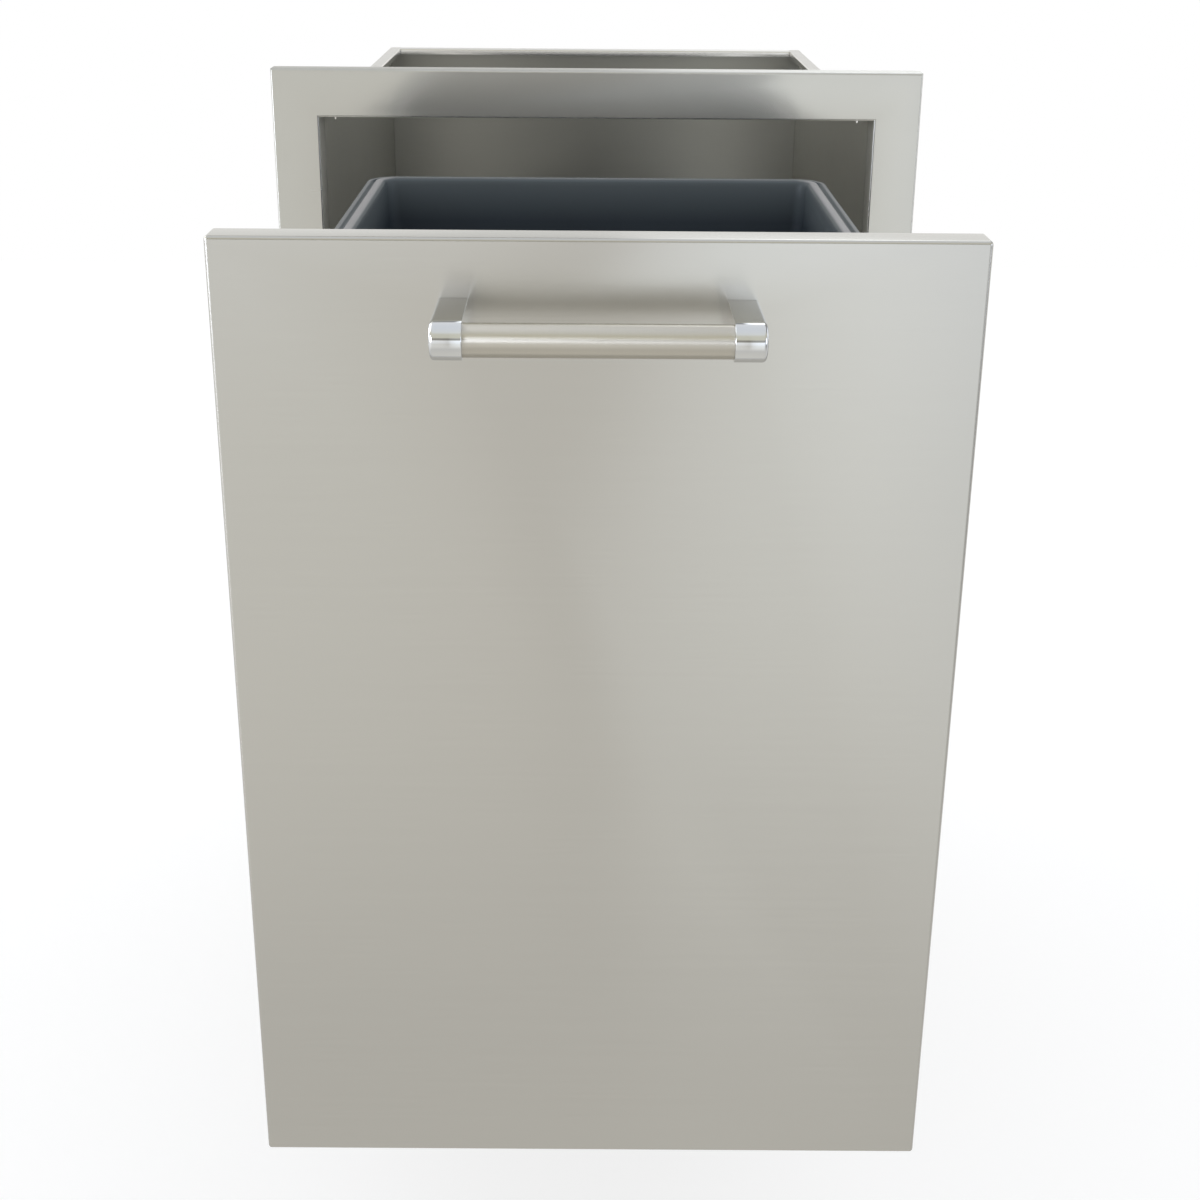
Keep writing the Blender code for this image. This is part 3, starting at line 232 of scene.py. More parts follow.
# Two bright windows: where they stand round the object, how high they reach, and their light
WINDOWS_AROUND = (
    (0.28, 0.0), (0.30, 1.0), (0.38, 1.0), (0.40, 0.0), (0.62, 0.0), (0.64, 0.4), (0.70, 0.4), (0.72, 0.0),
)
WINDOWS_UP = ((0.48, 0.0), (0.51, 1.0), (0.68, 1.0), (0.71, 0.0))
WINDOW_LIGHT = (4.9, 5.2, 5.8)
FLOOR_Z = -0.30
FLOOR_SIZE = 4.0
FLOOR_PAINT = (0.50, 0.50, 0.50, 1)
FLOOR_GLOW = 0.56

# The range of a noise that a level follows, and the wider range that a tint follows
NOISE = (0.3, 0.7)
TINT_NOISE = (0.25, 0.75)
# Patterns on brushed steel, in marks to the metre
FINE_SCRATCHES = 3200
BROAD_SCRATCHES = 420
SMUDGES = 7
HAZE = 1.7
# How deep the finest marks are
FINE_RELIEF = 0.00001
# For each run of grain, how a pattern is stretched along it and the way that reflections smear
GRAIN = {"X": ((0.012, 1, 1), (0, 0.02, 1)), "turned": ((1, 0.05, 0.05), (1, 0, 0))}
# Bands below the bin's rim, and in from its sides, over which its plastic takes a painted highlight on its
# ridges, turns glossy and takes a painted band of light
RIDGE_HIGHLIGHT_BAND = (0.0009, 0.0002)
RIDGE_HIGHLIGHT_SIDE = (0.022, 0.010)
GLOSS_BAND = (0.012, 0.004)
PAINTED_LIGHT_BAND = (0.031, BIN_RIM_DEPTH)


def place_camera():
    """The camera that took the photograph, with the small shift of its crop."""
    pitch, yaw, roll = CAMERA_PITCH, CAMERA_YAW, CAMERA_ROLL
    ahead = Vector((math.sin(yaw) * math.cos(pitch), math.cos(yaw) * math.cos(pitch), -math.sin(pitch)))
    level = Vector((math.cos(yaw), -math.sin(yaw), 0))
    down = ahead.cross(level)
    right = math.cos(roll) * level + math.sin(roll) * down
    down = -math.sin(roll) * level + math.cos(roll) * down
    data = bpy.data.cameras.new("photo_camera")
    data.sensor_width = SENSOR_WIDTH
    data.lens = FOCAL_PIXELS / FRAME_PIXELS * SENSOR_WIDTH
    data.shift_x = 0.5 - CENTRE_PIXEL[0] / FRAME_PIXELS
    data.shift_y = CENTRE_PIXEL[1] / FRAME_PIXELS - 0.5
    camera = bpy.data.objects.new("photo_camera", data)
    turn = Matrix((right, -down, -ahead)).transposed().to_4x4()
    camera.matrix_world = Matrix.Translation(CAMERA_PLACE) @ turn
    bpy.context.scene.collection.objects.link(camera)
    bpy.context.scene.camera = camera


class Nodes:
    """A node tree that is written one short line at a time."""

    def __init__(self, tree):
        self.tree = tree
        tree.nodes.clear()

    def add(self, kind, **settings):
        """A new node with its settings."""
        node = self.tree.nodes.new("ShaderNode" + kind)
        for name, value in settings.items():
            setattr(node, name, value)
        return node

    def put(self, value, socket):
        """Set a socket to a value, or link another node's socket to it."""
        if isinstance(value, bpy.types.NodeSocket):
            self.tree.links.new(value, socket)
        else:
            socket.default_value = value

    def feed(self, node, **inputs):
        """Put a value on each named input."""
        for name, value in inputs.items():
            self.put(value, node.inputs[name.replace("_", " ")])
        return node

    def fill(self, node, *values):
        """Put values on the first inputs, and give the first output."""
        for socket, value in zip(node.inputs, values):
            self.put(value, socket)
        return node.outputs[0]

    def maths(self, operation, a, b=0.0):
        """One or two numbers put through an operation."""
        return self.fill(self.add("Math", operation=operation), a, b)

    def span(self, value, low, high, to_low, to_high):
        """The value carried from one range to another."""
        node = self.add("MapRange")
        self.feed(node, Value=value, From_Min=low, From_Max=high, To_Min=to_low, To_Max=to_high)
        return node.outputs["Result"]

    def mottle(self, noise, low, high):
        """A level that wanders between two values as a noise does."""
        return self.span(noise, *NOISE, low, high)

    def ramp(self, value, stops):
        """A row of colours or greys along a value."""
        node = self.feed(self.add("ValToRGB"), Fac=value)
        elements = node.color_ramp.elements
        while len(elements) < len(stops):
            elements.new(0.5)
        for element, (place, colour) in zip(elements, stops):
            element.position = place
            element.color = (*colour, 1) if isinstance(colour, tuple) else (colour, colour, colour, 1)
        return node.outputs["Color"]

    def mix(self, factor, a, b, blend="MIX"):
        """Two colours mixed, each a colour or another node's socket."""
        node = self.add("Mix", data_type="RGBA", blend_type=blend)
        for index, value in ((0, factor), (6, a), (7, b)):
            self.put((*value, 1) if isinstance(value, tuple) else value, node.inputs[index])
        return node.outputs[2]


def studio_side(n, height, bearing, wall, shade, weight):
    """One side of the studio: the colours of its wall, and their shade from left to right."""
    across = n.span(bearing, -SHADE_BEARING, SHADE_BEARING, 0, 1)
    shade = n.mix(n.ramp(height, weight), WHITE, n.ramp(across, shade))
    return n.mix(1.0, n.ramp(height, wall), shade, "MULTIPLY")


def windows(n, x, y, height):
    """Where the two windows at the sides are."""
    around = n.span(n.maths("ARCTAN2", x, n.maths("MULTIPLY", y, -1)), -math.pi, math.pi, 0, 1)
    return n.maths("MULTIPLY", n.ramp(around, WINDOWS_AROUND), n.ramp(height, WINDOWS_UP))


def studio():
    """A white room for the eye, and a soft studio of pale walls for the metal and the light."""
    world = bpy.data.worlds.new("studio")
    bpy.context.scene.world = world
    world.use_nodes = True
    n = Nodes(world.node_tree)
    x, y, z = n.feed(n.add("SeparateXYZ"), Vector=n.add("TexCoord").outputs["Generated"]).outputs
    height = n.span(z, -1, 1, 0, 1)
    bearing = n.maths("ARCTAN2", x, n.maths("ABSOLUTE", y))
    before = studio_side(n, height, bearing, **BEFORE)
    behind = studio_side(n, height, bearing, **BEHIND)
    lit = n.mix(n.span(y, -SIDES_MEET, SIDES_MEET, 0, 1), before, behind)
    lit = n.mix(windows(n, x, y, height), lit, WINDOW_LIGHT, "ADD")
    rays = n.add("LightPath").outputs
    mirrored = n.maths("MAXIMUM", rays["Is Glossy Ray"], rays["Is Transmission Ray"])
    lights = [
        n.feed(n.add("Background"), Color=colour, Strength=1.0).outputs[0]
        for colour in ((*ROOM_LIGHT, 1), lit, (*WHITE, 1))
    ]
    seen = n.fill(n.add("MixShader"), mirrored, lights[0], lights[1])
    seen = n.fill(n.add("MixShader"), rays["Is Camera Ray"], seen, lights[2])
    n.feed(n.add("OutputWorld"), Surface=seen)


def floor():
    """A pale floor below the object, white to the eye, that still takes the object's shadow."""
    bm = bmesh.new()
    place = Matrix.Translation((0, 0, FLOOR_Z))
    bmesh.ops.create_grid(bm, x_segments=1, y_segments=1, size=FLOOR_SIZE, matrix=place)
    mesh = bpy.data.meshes.new("studio_floor")
    bm.to_mesh(mesh)
    bm.free()
    made = bpy.data.materials.new("pale_floor")
    made.use_nodes = True
    n = Nodes(made.node_tree)
    rays = n.add("LightPath").outputs
    seen = n.maths("MAXIMUM", rays["Is Camera Ray"], rays["Is Transmission Ray"])
    paint = n.feed(n.add("BsdfDiffuse"), Color=FLOOR_PAINT)
    glow = n.feed(n.add("Emission"), Color=(*WHITE, 1), Strength=n.maths("MULTIPLY", seen, FLOOR_GLOW))
    both = n.fill(n.add("AddShader"), paint.outputs[0], glow.outputs[0])
    n.feed(n.add("OutputMaterial"), Surface=both)
    mesh.materials.append(made)
    ground = bpy.data.objects.new("studio_floor", mesh)
    ground.visible_glossy = False
    bpy.context.scene.collection.objects.link(ground)


def new_finish(name, colour, metallic=1.0, **inputs):
    """A new material whose shader takes its constants on its own sockets."""
    made = bpy.data.materials.new(name)
    made.use_nodes = True
    n = Nodes(made.node_tree)
    shader = n.feed(n.add("BsdfPrincipled"), Base_Color=(*colour, 1), Metallic=metallic, **inputs)
    n.feed(n.add("OutputMaterial"), Surface=shader.outputs[0])
    return made, n, shader


def pattern(n, scale, detail=3.0, roughness=0.55, stretch=(1, 1, 1)):
    """Noise in the object's own metres, stretched along an axis where asked."""
    place = n.feed(n.add("Mapping"), Vector=n.add("TexCoord").outputs["Object"], Scale=stretch).outputs[0]
    noise = n.feed(n.add("TexNoise"), Vector=place, Scale=scale, Detail=detail, Roughness=roughness)
    return noise.outputs["Fac"]


def tint(n, shader, colour, *noises):
    """The base colour, made a little darker and lighter by each noise in turn."""
    shade = None
    for noise, low, high in noises:
        level = n.span(noise, *TINT_NOISE, low, high)
        shade = level if shade is None else n.maths("MULTIPLY", shade, level)
    result = n.mix(1.0, colour, shade, "MULTIPLY")
    n.feed(shader, Base_Color=result)
    return result


def relief(n, shader, height, strength, depth=FINE_RELIEF):
    """Small ups and downs of the surface, on top of any that it has."""
    bump = n.feed(n.add("Bump"), Height=height, Strength=strength, Distance=depth)
    for link in shader.inputs["Normal"].links:
        n.feed(bump, Normal=link.from_socket)
    n.feed(shader, Normal=bump.outputs[0])


def own_place(n):
    """X, Y and Z in the object's own metres."""
    return n.feed(n.add("SeparateXYZ"), Vector=n.add("TexCoord").outputs["Object"]).outputs


def painted_rim_highlight(n, shader, body, rough, rim):
    """The top edge is smoother than the sheet below it, and its colour is lightened there as a painted
    highlight.
    """
    # bright is a painted highlight: the same steel, lightened along the flange where it catches the light
    bright, smooth = (0.88, 0.87, 0.85), 0.45
    rim_highlight_and_polish = n.span(own_place(n)[2], rim - RIM_LIP - SHEET, rim - RIM_LIP + SHEET, 0.0, 1.0)
    n.feed(shader, Base_Color=n.mix(rim_highlight_and_polish, body, bright))
    n.feed(shader, Roughness=n.maths("MULTIPLY", rough, n.span(rim_highlight_and_polish, 0.0, 1.0, 1.0, smooth)))


def lean(n, shader, slope):
    """The sheet's face is shaded as if it nods forward a little between its folds, as thin sheet does."""
    relief(n, shader, own_place(n)[2], 1.0, slope)


def brushed_steel(name, along="X", colour=(0.66, 0.655, 0.635), rough=0.184, spread=0.81, streaks=1.0,
                  metal=1.0, rim=None, slope=0.0):
    """Brushed stainless: long fine scratches one way, and reflections that smear across them."""
    stretch, across = GRAIN[along]
    made, n, shader = new_finish(name, colour, metal, Anisotropic=spread)
    n.feed(shader, Tangent=n.fill(n.add("CombineXYZ"), *across))
    fine = pattern(n, FINE_SCRATCHES, 2.0, 0.6, stretch)
    broad = pattern(n, BROAD_SCRATCHES, 4.0, 0.6, stretch)
    smudge = pattern(n, SMUDGES, 4.0, 0.6)
    haze = pattern(n, HAZE, 1.0, 0.5)
    faint, clear = 0.008 * streaks, 0.012 * streaks
    scratches = (broad, 1 - faint, 1 + faint), (fine, 1 - clear, 1 + clear)
    body = tint(n, shader, colour, *scratches, (haze, 0.985, 1.015))
    ground = n.maths("MULTIPLY", n.mottle(broad, 0.97, 1.03), n.span(smudge, 0.35, 0.7, 0.95, 1.07))
    ground = n.maths("MULTIPLY", ground, rough)
    n.feed(shader, Roughness=ground)
    relief(n, shader, n.maths("ADD", fine, broad), 0.05 * streaks)
    # A rim height gives the top edge a painted highlight
    if rim:
        painted_rim_highlight(n, shader, body, ground, rim)
    if slope:
        lean(n, shader, slope)
    return made


def polished_chrome():
    """Bright plate with faint wiping marks."""
    colour = (0.80, 0.82, 0.85)
    made, n, shader = new_finish("polished_chrome", colour)
    wipes = pattern(n, 60, 4.0, 0.6, (1, 0.35, 0.35))
    tint(n, shader, colour, (pattern(n, 25), 0.97, 1.02), (wipes, 0.985, 1.01))
    n.feed(shader, Roughness=n.span(wipes, 0.3, 0.75, 0.035, 0.085))
    relief(n, shader, pattern(n, 900, 2.0), 0.05)
    return made


def zinc_plate():
    """Bluish zinc on rolled steel, with the faint yellow and blue clouds of its passivation."""
    colour, yellowed = (0.60, 0.63, 0.66), (0.66, 0.63, 0.54)
    made, n, shader = new_finish("zinc_plate", colour)
    cloud = pattern(n, 22, 4.0, 0.6)
    rolled = pattern(n, 500, 3.0, 0.6, (1, 0.03, 1))
    pale = tint(n, shader, colour, (rolled, 0.97, 1.02), (pattern(n, 160), 0.97, 1.03))
    n.feed(shader, Base_Color=n.mix(n.span(cloud, 0.45, 0.75, 0.0, 0.35), pale, yellowed))
    n.feed(shader, Roughness=n.mottle(cloud, 0.24, 0.36))
    relief(n, shader, rolled, 0.2)
    return made


def bearing_steel():
    """Hardened and polished, as balls and their cages are."""
    colour = (0.74, 0.74, 0.75)
    made, n, shader = new_finish("bearing_steel", colour)
    oil = pattern(n, 300)
    tint(n, shader, colour, (oil, 0.95, 1.02))
    n.feed(shader, Roughness=n.mottle(oil, 0.10, 0.22))
    relief(n, shader, pattern(n, 2200, 2.0), 0.1, 0.000008)
    return made


def black_rubber():
    """Matt moulded rubber with a dusty bloom."""
    colour = (0.028, 0.028, 0.030)
    made, n, shader = new_finish("black_rubber", colour, 0.0)
    bloom = pattern(n, 120, 4.0)
    tint(n, shader, colour, (bloom, 0.8, 1.5))
    n.feed(shader, Roughness=n.mottle(bloom, 0.62, 0.85))
    relief(n, shader, pattern(n, 2600, 2.0), 0.4, 0.00004)
    return made


def bin_plastic(rim, side):
    """Charcoal polypropylene with a fine moulded grain, with a painted band of light below its rim and
    painted highlights on the ridges of the rim.
    """
    colour, painted_top_light, painted_ridge_highlight = (0.025, 0.034, 0.044), (0.080, 0.096, 0.106), (0.34, 0.335, 0.34)
    made, n, shader = new_finish("bin_plastic", colour, 0.0, IOR=1.49, Specular_IOR_Level=0.20)
    grain = pattern(n, 700, 2.0, 0.5)
    rubs = pattern(n, 9, 4.0, 0.6)
    place = own_place(n)

    def below_rim(band, start, end):
        """A level that changes over a band of depths below the rim."""
        return n.span(place[2], rim - band[0], rim - band[1], start, end)

    body = tint(n, shader, colour, (rubs, 0.92, 1.10), (grain, 0.97, 1.03))
    # Painted light: the wall is lightened over a band below the rim, where light falls in from above
    body = n.mix(below_rim(PAINTED_LIGHT_BAND, 0.0, 1.0), body, painted_top_light)
    # Painted highlight: the rim's ridges are lightened, most along the sides, where they catch the light
    far = n.maths("ABSOLUTE", place[0])
    painted_ridge_mask = n.span(far, side - RIDGE_HIGHLIGHT_SIDE[0], side - RIDGE_HIGHLIGHT_SIDE[1], 0.15, 1.0)
    painted_ridge_mask = n.maths("MULTIPLY", below_rim(RIDGE_HIGHLIGHT_BAND, 0.0, 1.0), painted_ridge_mask)
    painted_ridge_mask = n.maths("MULTIPLY", painted_ridge_mask, n.mottle(rubs, 0.75, 1.0))
    n.feed(shader, Base_Color=n.mix(painted_ridge_mask, body, painted_ridge_highlight))
    gloss = n.maths("MULTIPLY", n.mottle(rubs, 0.92, 1.08), below_rim(GLOSS_BAND, 0.60, 0.40))
    n.feed(shader, Roughness=gloss)
    relief(n, shader, grain, 0.05)
    return made


def piece(name, bm, finish, node, sharp=32):
    """The object of a finished bmesh, which rides on its solid's body in place of the solid."""
    mesh = bpy.data.meshes.new(name)
    bm.to_mesh(mesh)
    bm.free()
    mesh.materials.append(finish)
    mesh.shade_smooth()
    mesh.set_sharp_from_angle(angle=math.radians(sharp))
    made = bpy.data.objects.new(name, mesh)
    bpy.context.scene.collection.objects.link(made)
    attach(made, frame["nodes"][node].parent.name.removeprefix("body:"))
    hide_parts(node)


def middle_of(node):
    """The middle of a solid."""
    low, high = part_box(node)
    return (low + high) / 2


def numbered(stem, count):
    """The names of a row of equal solids."""
    return [f"{stem}_{number}" for number in range(1, count + 1)]


def block(low, high):
    """A closed box between two corners."""
    low, high = Vector(low), Vector(high)
    bm = bmesh.new()
    place = Matrix.Translation((low + high) / 2) @ Matrix.Diagonal((*(high - low), 1))
    bmesh.ops.create_cube(bm, size=1, matrix=place)
    return bm


def facing(bm, *ways):
    """The faces that look along any of the given directions."""
    bm.normal_update()
    return [face for face in bm.faces if any(face.normal.dot(Vector(way)) > SAME_WAY for way in ways)]


def reach(edge, axis):
    """How far an edge runs along an axis."""
    start, end = edge.verts
    return abs((end.co - start.co)["XYZ".index(axis)])


def lies_at(edge, axis, level):
    """Whether an edge lies at one level along an axis."""
    return all(abs(vert.co["XYZ".index(axis)] - level) < SAME_PLACE for vert in edge.verts)


def bends(bm, turn):
    """The edges where two faces turn from one another by more than an angle."""
    bm.normal_update()
    return [e for e in bm.edges if len(e.link_faces) == 2 and e.calc_face_angle() > turn]


def only(kind, made):
    """The items of one kind among what an operator made."""
    return [item for item in made if isinstance(item, kind)]


def rounded_edges(bm, edges, radius, segments):
    """Round the given edges."""
    bmesh.ops.bevel(
        bm, geom=edges, offset=radius, offset_type="OFFSET", segments=segments, profile=0.5,
        affect="EDGES", clamp_overlap=True, material=-1,
    )


def round_folds(bm, radius, segments=5, mitred=""):
    """Round every fold of an open sheet, and none of its free edges or of its mitres along an axis."""
    folds = [e for e in bends(bm, FOLD_TURN) if not mitred or reach(e, mitred) < SAME_PLACE]
    rounded_edges(bm, folds, radius, segments)


def push_free_edges(bm, edges, step):
    """Fold a flange out of free edges: extrude them and move what is new."""
    verts = only(BMVert, bmesh.ops.extrude_edge_only(bm, edges=edges)["geom"])
    bmesh.ops.translate(bm, vec=step, verts=verts)
    return verts


def worked(bm, kind, **settings):
    """The shape after one modifier, as a bmesh again."""
    mesh = bpy.data.meshes.new("work")
    bm.to_mesh(mesh)
    bm.free()
    obj = bpy.data.objects.new("work", mesh)
    bpy.context.scene.collection.objects.link(obj)
    modifier = obj.modifiers.new("work", kind)
    for name, value in settings.items():
        setattr(modifier, name, value)
    done = obj.evaluated_get(bpy.context.evaluated_depsgraph_get())
    made = bmesh.new()
    made.from_mesh(done.to_mesh())
    done.to_mesh_clear()
    bpy.data.objects.remove(obj, do_unlink=True)
    return made


def cut(bm, cutter):
    """What is left of a closed shape when another is cut from it."""
    mesh = bpy.data.meshes.new("cutter")
    bmesh.ops.recalc_face_normals(cutter, faces=cutter.faces[:])
    cutter.to_mesh(mesh)
    cutter.free()
    tool = bpy.data.objects.new("cutter", mesh)
    bpy.context.scene.collection.objects.link(tool)
    made = worked(bm, "BOOLEAN", operation="DIFFERENCE", object=tool, solver="EXACT")
    bpy.data.objects.remove(tool, do_unlink=True)
    return made


def sheet_metal(bm, thickness):
    """A folded sheet with its thickness, inwards from its outer face."""
    return worked(bm, "SOLIDIFY", thickness=thickness, offset=-1, use_even_offset=True)


TURN_TO = {
    "X": Matrix.Rotation(math.pi / 2, 4, "Y"),
    "Y": Matrix.Rotation(math.pi / 2, 4, "X"),
    "Z": Matrix.Identity(4),
}


def lifted(point, axis, level):
    """A point of a plane, with its level along the axis that crosses the plane."""
    index = "XYZ".index(axis)
    return (*point[:index], level, *point[index:])


def rods(places, axis, radius, start, end, sides=24):
    """Round rods along one axis, at places on the other two."""
    bm = bmesh.new()
    for place in places:
        centre = Matrix.Translation(lifted(place, axis, (start + end) / 2))
        bmesh.ops.create_cone(
            bm, cap_ends=True, segments=sides, radius1=radius, radius2=radius, depth=abs(end - start),
            matrix=centre @ TURN_TO[axis],
        )
    return bm


def drilled(bm, nodes, axis, radius, start, end):
    """A sheet with holes for the named screws, cut between two levels along the axis."""
    others = [index for index in range(3) if "XYZ"[index] != axis]
    places = [tuple(middle_of(node)[index] for index in others) for node in nodes]
    return cut(bm, rods(places, axis, radius, start, end))


def free_edges(bm):
    """The edges of an open sheet that only one face has."""
    return [edge for edge in bm.edges if edge.is_boundary]


def turn_out(bm, outwards):
    """Turn all faces of an open sheet together, so that one looks the given way."""
    bmesh.ops.recalc_face_normals(bm, faces=bm.faces[:])
    if not facing(bm, outwards):
        bmesh.ops.reverse_faces(bm, faces=bm.faces[:])


def make_frame(steel):
    """The face frame: one sheet with returns and back lips outside, and jambs round the opening."""
    low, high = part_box("face_frame")
    middle, size = (low + high) / 2, high - low
    bm = bmesh.new()
    place = Matrix.Translation((middle.x, low.y, middle.z)) @ Matrix.Diagonal((size.x, 1, size.z, 1))
    bmesh.ops.create_grid(bm, x_segments=1, y_segments=1, size=0.5, matrix=place @ TURN_TO["Y"])
    bmesh.ops.inset_region(
        bm, faces=bm.faces[:], thickness=FRAME_RAIL, use_even_offset=True, use_boundary=True,
    )
    opening = min(bm.faces, key=lambda face: (face.calc_center_median() - middle).length)
    bmesh.ops.delete(bm, geom=[opening], context="FACES_ONLY")
    rail_middle = (size.x - FRAME_RAIL) / 2
    outside = [e for e in free_edges(bm) if all(abs(v.co.x - middle.x) > rail_middle for v in e.verts)]
    inside = [e for e in free_edges(bm) if e not in outside]
    push_free_edges(bm, inside, (0, JAMB_DEPTH, 0))
    returns = push_free_edges(bm, outside, (0, FRAME_DEPTH, 0))
    edges = [e for e in free_edges(bm) if all(v in returns for v in e.verts)]
    for vert in push_free_edges(bm, edges, (0, 0, 0)):
        vert.co.x -= math.copysign(FRAME_BACK_LIP, vert.co.x - middle.x)
        vert.co.z -= math.copysign(FRAME_BACK_LIP, vert.co.z - middle.z)
    turn_out(bm, (0, -1, 0))
    round_folds(bm, FRAME_FOLD, mitred="Y")
    piece("face_sheet", sheet_metal(bm, SHEET), steel, "face_frame")


def pan(low, high, open_way, segments):
    """A shallow pan bent from one sheet, open one way."""
    bm = block(low, high)
    bmesh.ops.delete(bm, geom=facing(bm, open_way), context="FACES_ONLY")
    round_folds(bm, PANEL_FOLD, segments)
    return sheet_metal(bm, PANEL_SHEET)


def make_front(steel, dull):
    """The hollow drawer front: the skin that is seen, and the liner that closes it behind."""
    low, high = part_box("panel_skin")
    holes = [(side * POST_CENTRES / 2, HANDLE_Z) for side in (-1, 1)]
    holes = rods(holes, "Y", HANDLE_HOLE, low.y - SHEET, low.y + SHEET * 2)
    piece("front_skin", cut(pan(low, high, (0, 1, 0), 6), holes), steel, "panel_skin")
    liner = pan(*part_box("panel_liner"), (0, -1, 0), 4)
    piece("front_liner", liner, dull, "panel_liner")


def post_outline(bm, foot):
    """A ring that is round in front and runs back to the foot, in the plane x = 0."""
    place = Matrix.Translation((0, HANDLE_Y, HANDLE_Z)) @ TURN_TO["X"]
    bmesh.ops.create_circle(bm, cap_ends=False, segments=ROUND_SIDES, radius=POST_RADIUS, matrix=place)
    behind = [v for v in bm.verts if v.co.y > HANDLE_Y + SAME_PLACE]
    bmesh.ops.delete(bm, geom=behind, context="VERTS")
    tips = [v for v in bm.verts if len(v.link_edges) == 1]
    ends = bmesh.ops.extrude_vert_indiv(bm, verts=tips)["verts"]
    for vert in ends:
        vert.co.y = foot
    bmesh.ops.contextual_create(bm, geom=ends)
    bmesh.ops.contextual_create(bm, geom=bm.edges[:])


def make_handle(steel, chrome):
    """A round brushed bar in two cast and plated posts."""
    for label, side in SIDES:
        low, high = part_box(f"handle_post_{label}")
        inner, outer = (low.x, high.x) if side > 0 else (high.x, low.x)
        bm = bmesh.new()
        post_outline(bm, high.y)
        bmesh.ops.translate(bm, vec=(inner, 0, 0), verts=bm.verts[:])
        grown = bmesh.ops.extrude_face_region(bm, geom=bm.faces[:], use_keep_orig=True)["geom"]
        bmesh.ops.translate(bm, vec=(outer - inner, 0, 0), verts=only(BMVert, grown))
        bmesh.ops.recalc_face_normals(bm, faces=bm.faces[:])
        for way, radius, segments in ((side, POST_EDGE, 6), (-side, POST_INNER_EDGE, 3)):
            ends = facing(bm, (way, 0, 0))
            rim = [e for face in ends for e in face.edges if not lies_at(e, "Y", high.y)]
            rounded_edges(bm, rim, radius, segments)
        bore = (inner - side * SHEET, inner + side * SOCKET_DEPTH)
        socket = rods([(HANDLE_Y, HANDLE_Z)], "X", BAR_RADIUS + SOCKET_GAP, *bore, ROUND_SIDES)
        piece(f"cast_post_{label}", cut(bm, socket), chrome, f"handle_post_{label}")
    bm = rods([(HANDLE_Y, HANDLE_Z)], "X", BAR_RADIUS, BAR_LOW.x, BAR_HIGH.x, ROUND_SIDES)
    rounded_edges(bm, bends(bm, CORNER_TURN), BAR_EDGE, 3)
    piece("grip_bar", bm, steel, "handle_bar")


def wrapped_ring(bm, core, radius):
    """A rounded rectangle: a circle whose four quarters are drawn apart to the corners of a core."""
    sides = 4 * CORNER_POINTS
    turn = Matrix.Rotation(math.pi / sides, 4, "Z")
    made = bmesh.ops.create_circle(bm, cap_ends=False, segments=sides, radius=radius, matrix=turn)
    for vert in made["verts"]:
        vert.co.x += math.copysign(core[0], vert.co.x)
        vert.co.y += math.copysign(core[1], vert.co.y)
    return bm.edges[:]


def next_ring(bm, edges, core, new_core, grown, z):
    """The ring carried on to its next row: extruded, its corners moved and then grown or shrunk."""
    made = bmesh.ops.extrude_edge_only(bm, edges=edges)["geom"]
    for vert in only(BMVert, made):
        way = Vector((math.copysign(1, vert.co.x), math.copysign(1, vert.co.y)))
        out = vert.co.xy - way * Vector(core)
        vert.co.xy = way * Vector(new_core) + out * grown
        vert.co.z = z
    return only(BMEdge, made)


def bin_wall(z, height):
    """How far the tapered wall stands outside the foot."""
    return BIN_NARROWING * z / height


def bin_rows(height):
    """How far outside the foot, and how high, each row stands: up the outside, then down the inside."""
    angles = [math.pi / 2 * step / QUARTER_STEPS for step in range(QUARTER_STEPS + 1)]
    foot = [(BIN_FOOT_ROUND * (math.sin(a) - 1), BIN_FOOT_ROUND * (1 - math.cos(a))) for a in angles]
    skirt, under_rim = height - BIN_SKIRT, height - BIN_RIM_DEPTH
    neck = BIN_NARROWING - BIN_WALL
    edge = BIN_NARROWING + BIN_OVERHANG
    groove = edge - BIN_OUTER_RIDGE
    inside = BIN_WALL + BIN_FOOT_ROUND
    rim = [
        (bin_wall(under_rim, height), under_rim), (edge - BIN_RIM_SHEET, under_rim),
        (edge - BIN_RIM_SHEET, skirt), (edge, skirt), (edge, height - BIN_RIM_ROUND),
        (edge - BIN_RIM_ROUND / 2, height - OUTER_RIDGE_DROP), (groove, height - OUTER_RIDGE_DROP),
        (groove - BIN_GROOVE / 2, height - BIN_GROOVE), (groove - BIN_GROOVE, height - BIN_GROOVE),
        (groove - BIN_GROOVE - BIN_GROOVE_SLOPE, height), (neck + BIN_RIM_ROUND, height),
        (neck + BIN_RIM_ROUND / 3, height - BIN_RIM_ROUND / 2), (neck, height - BIN_RIM_ROUND * 1.5),
        (bin_wall(inside, height) - BIN_WALL, inside),
    ]
    return foot + rim + [(grow - BIN_WALL, z + BIN_WALL) for grow, z in foot[-2::-1]]


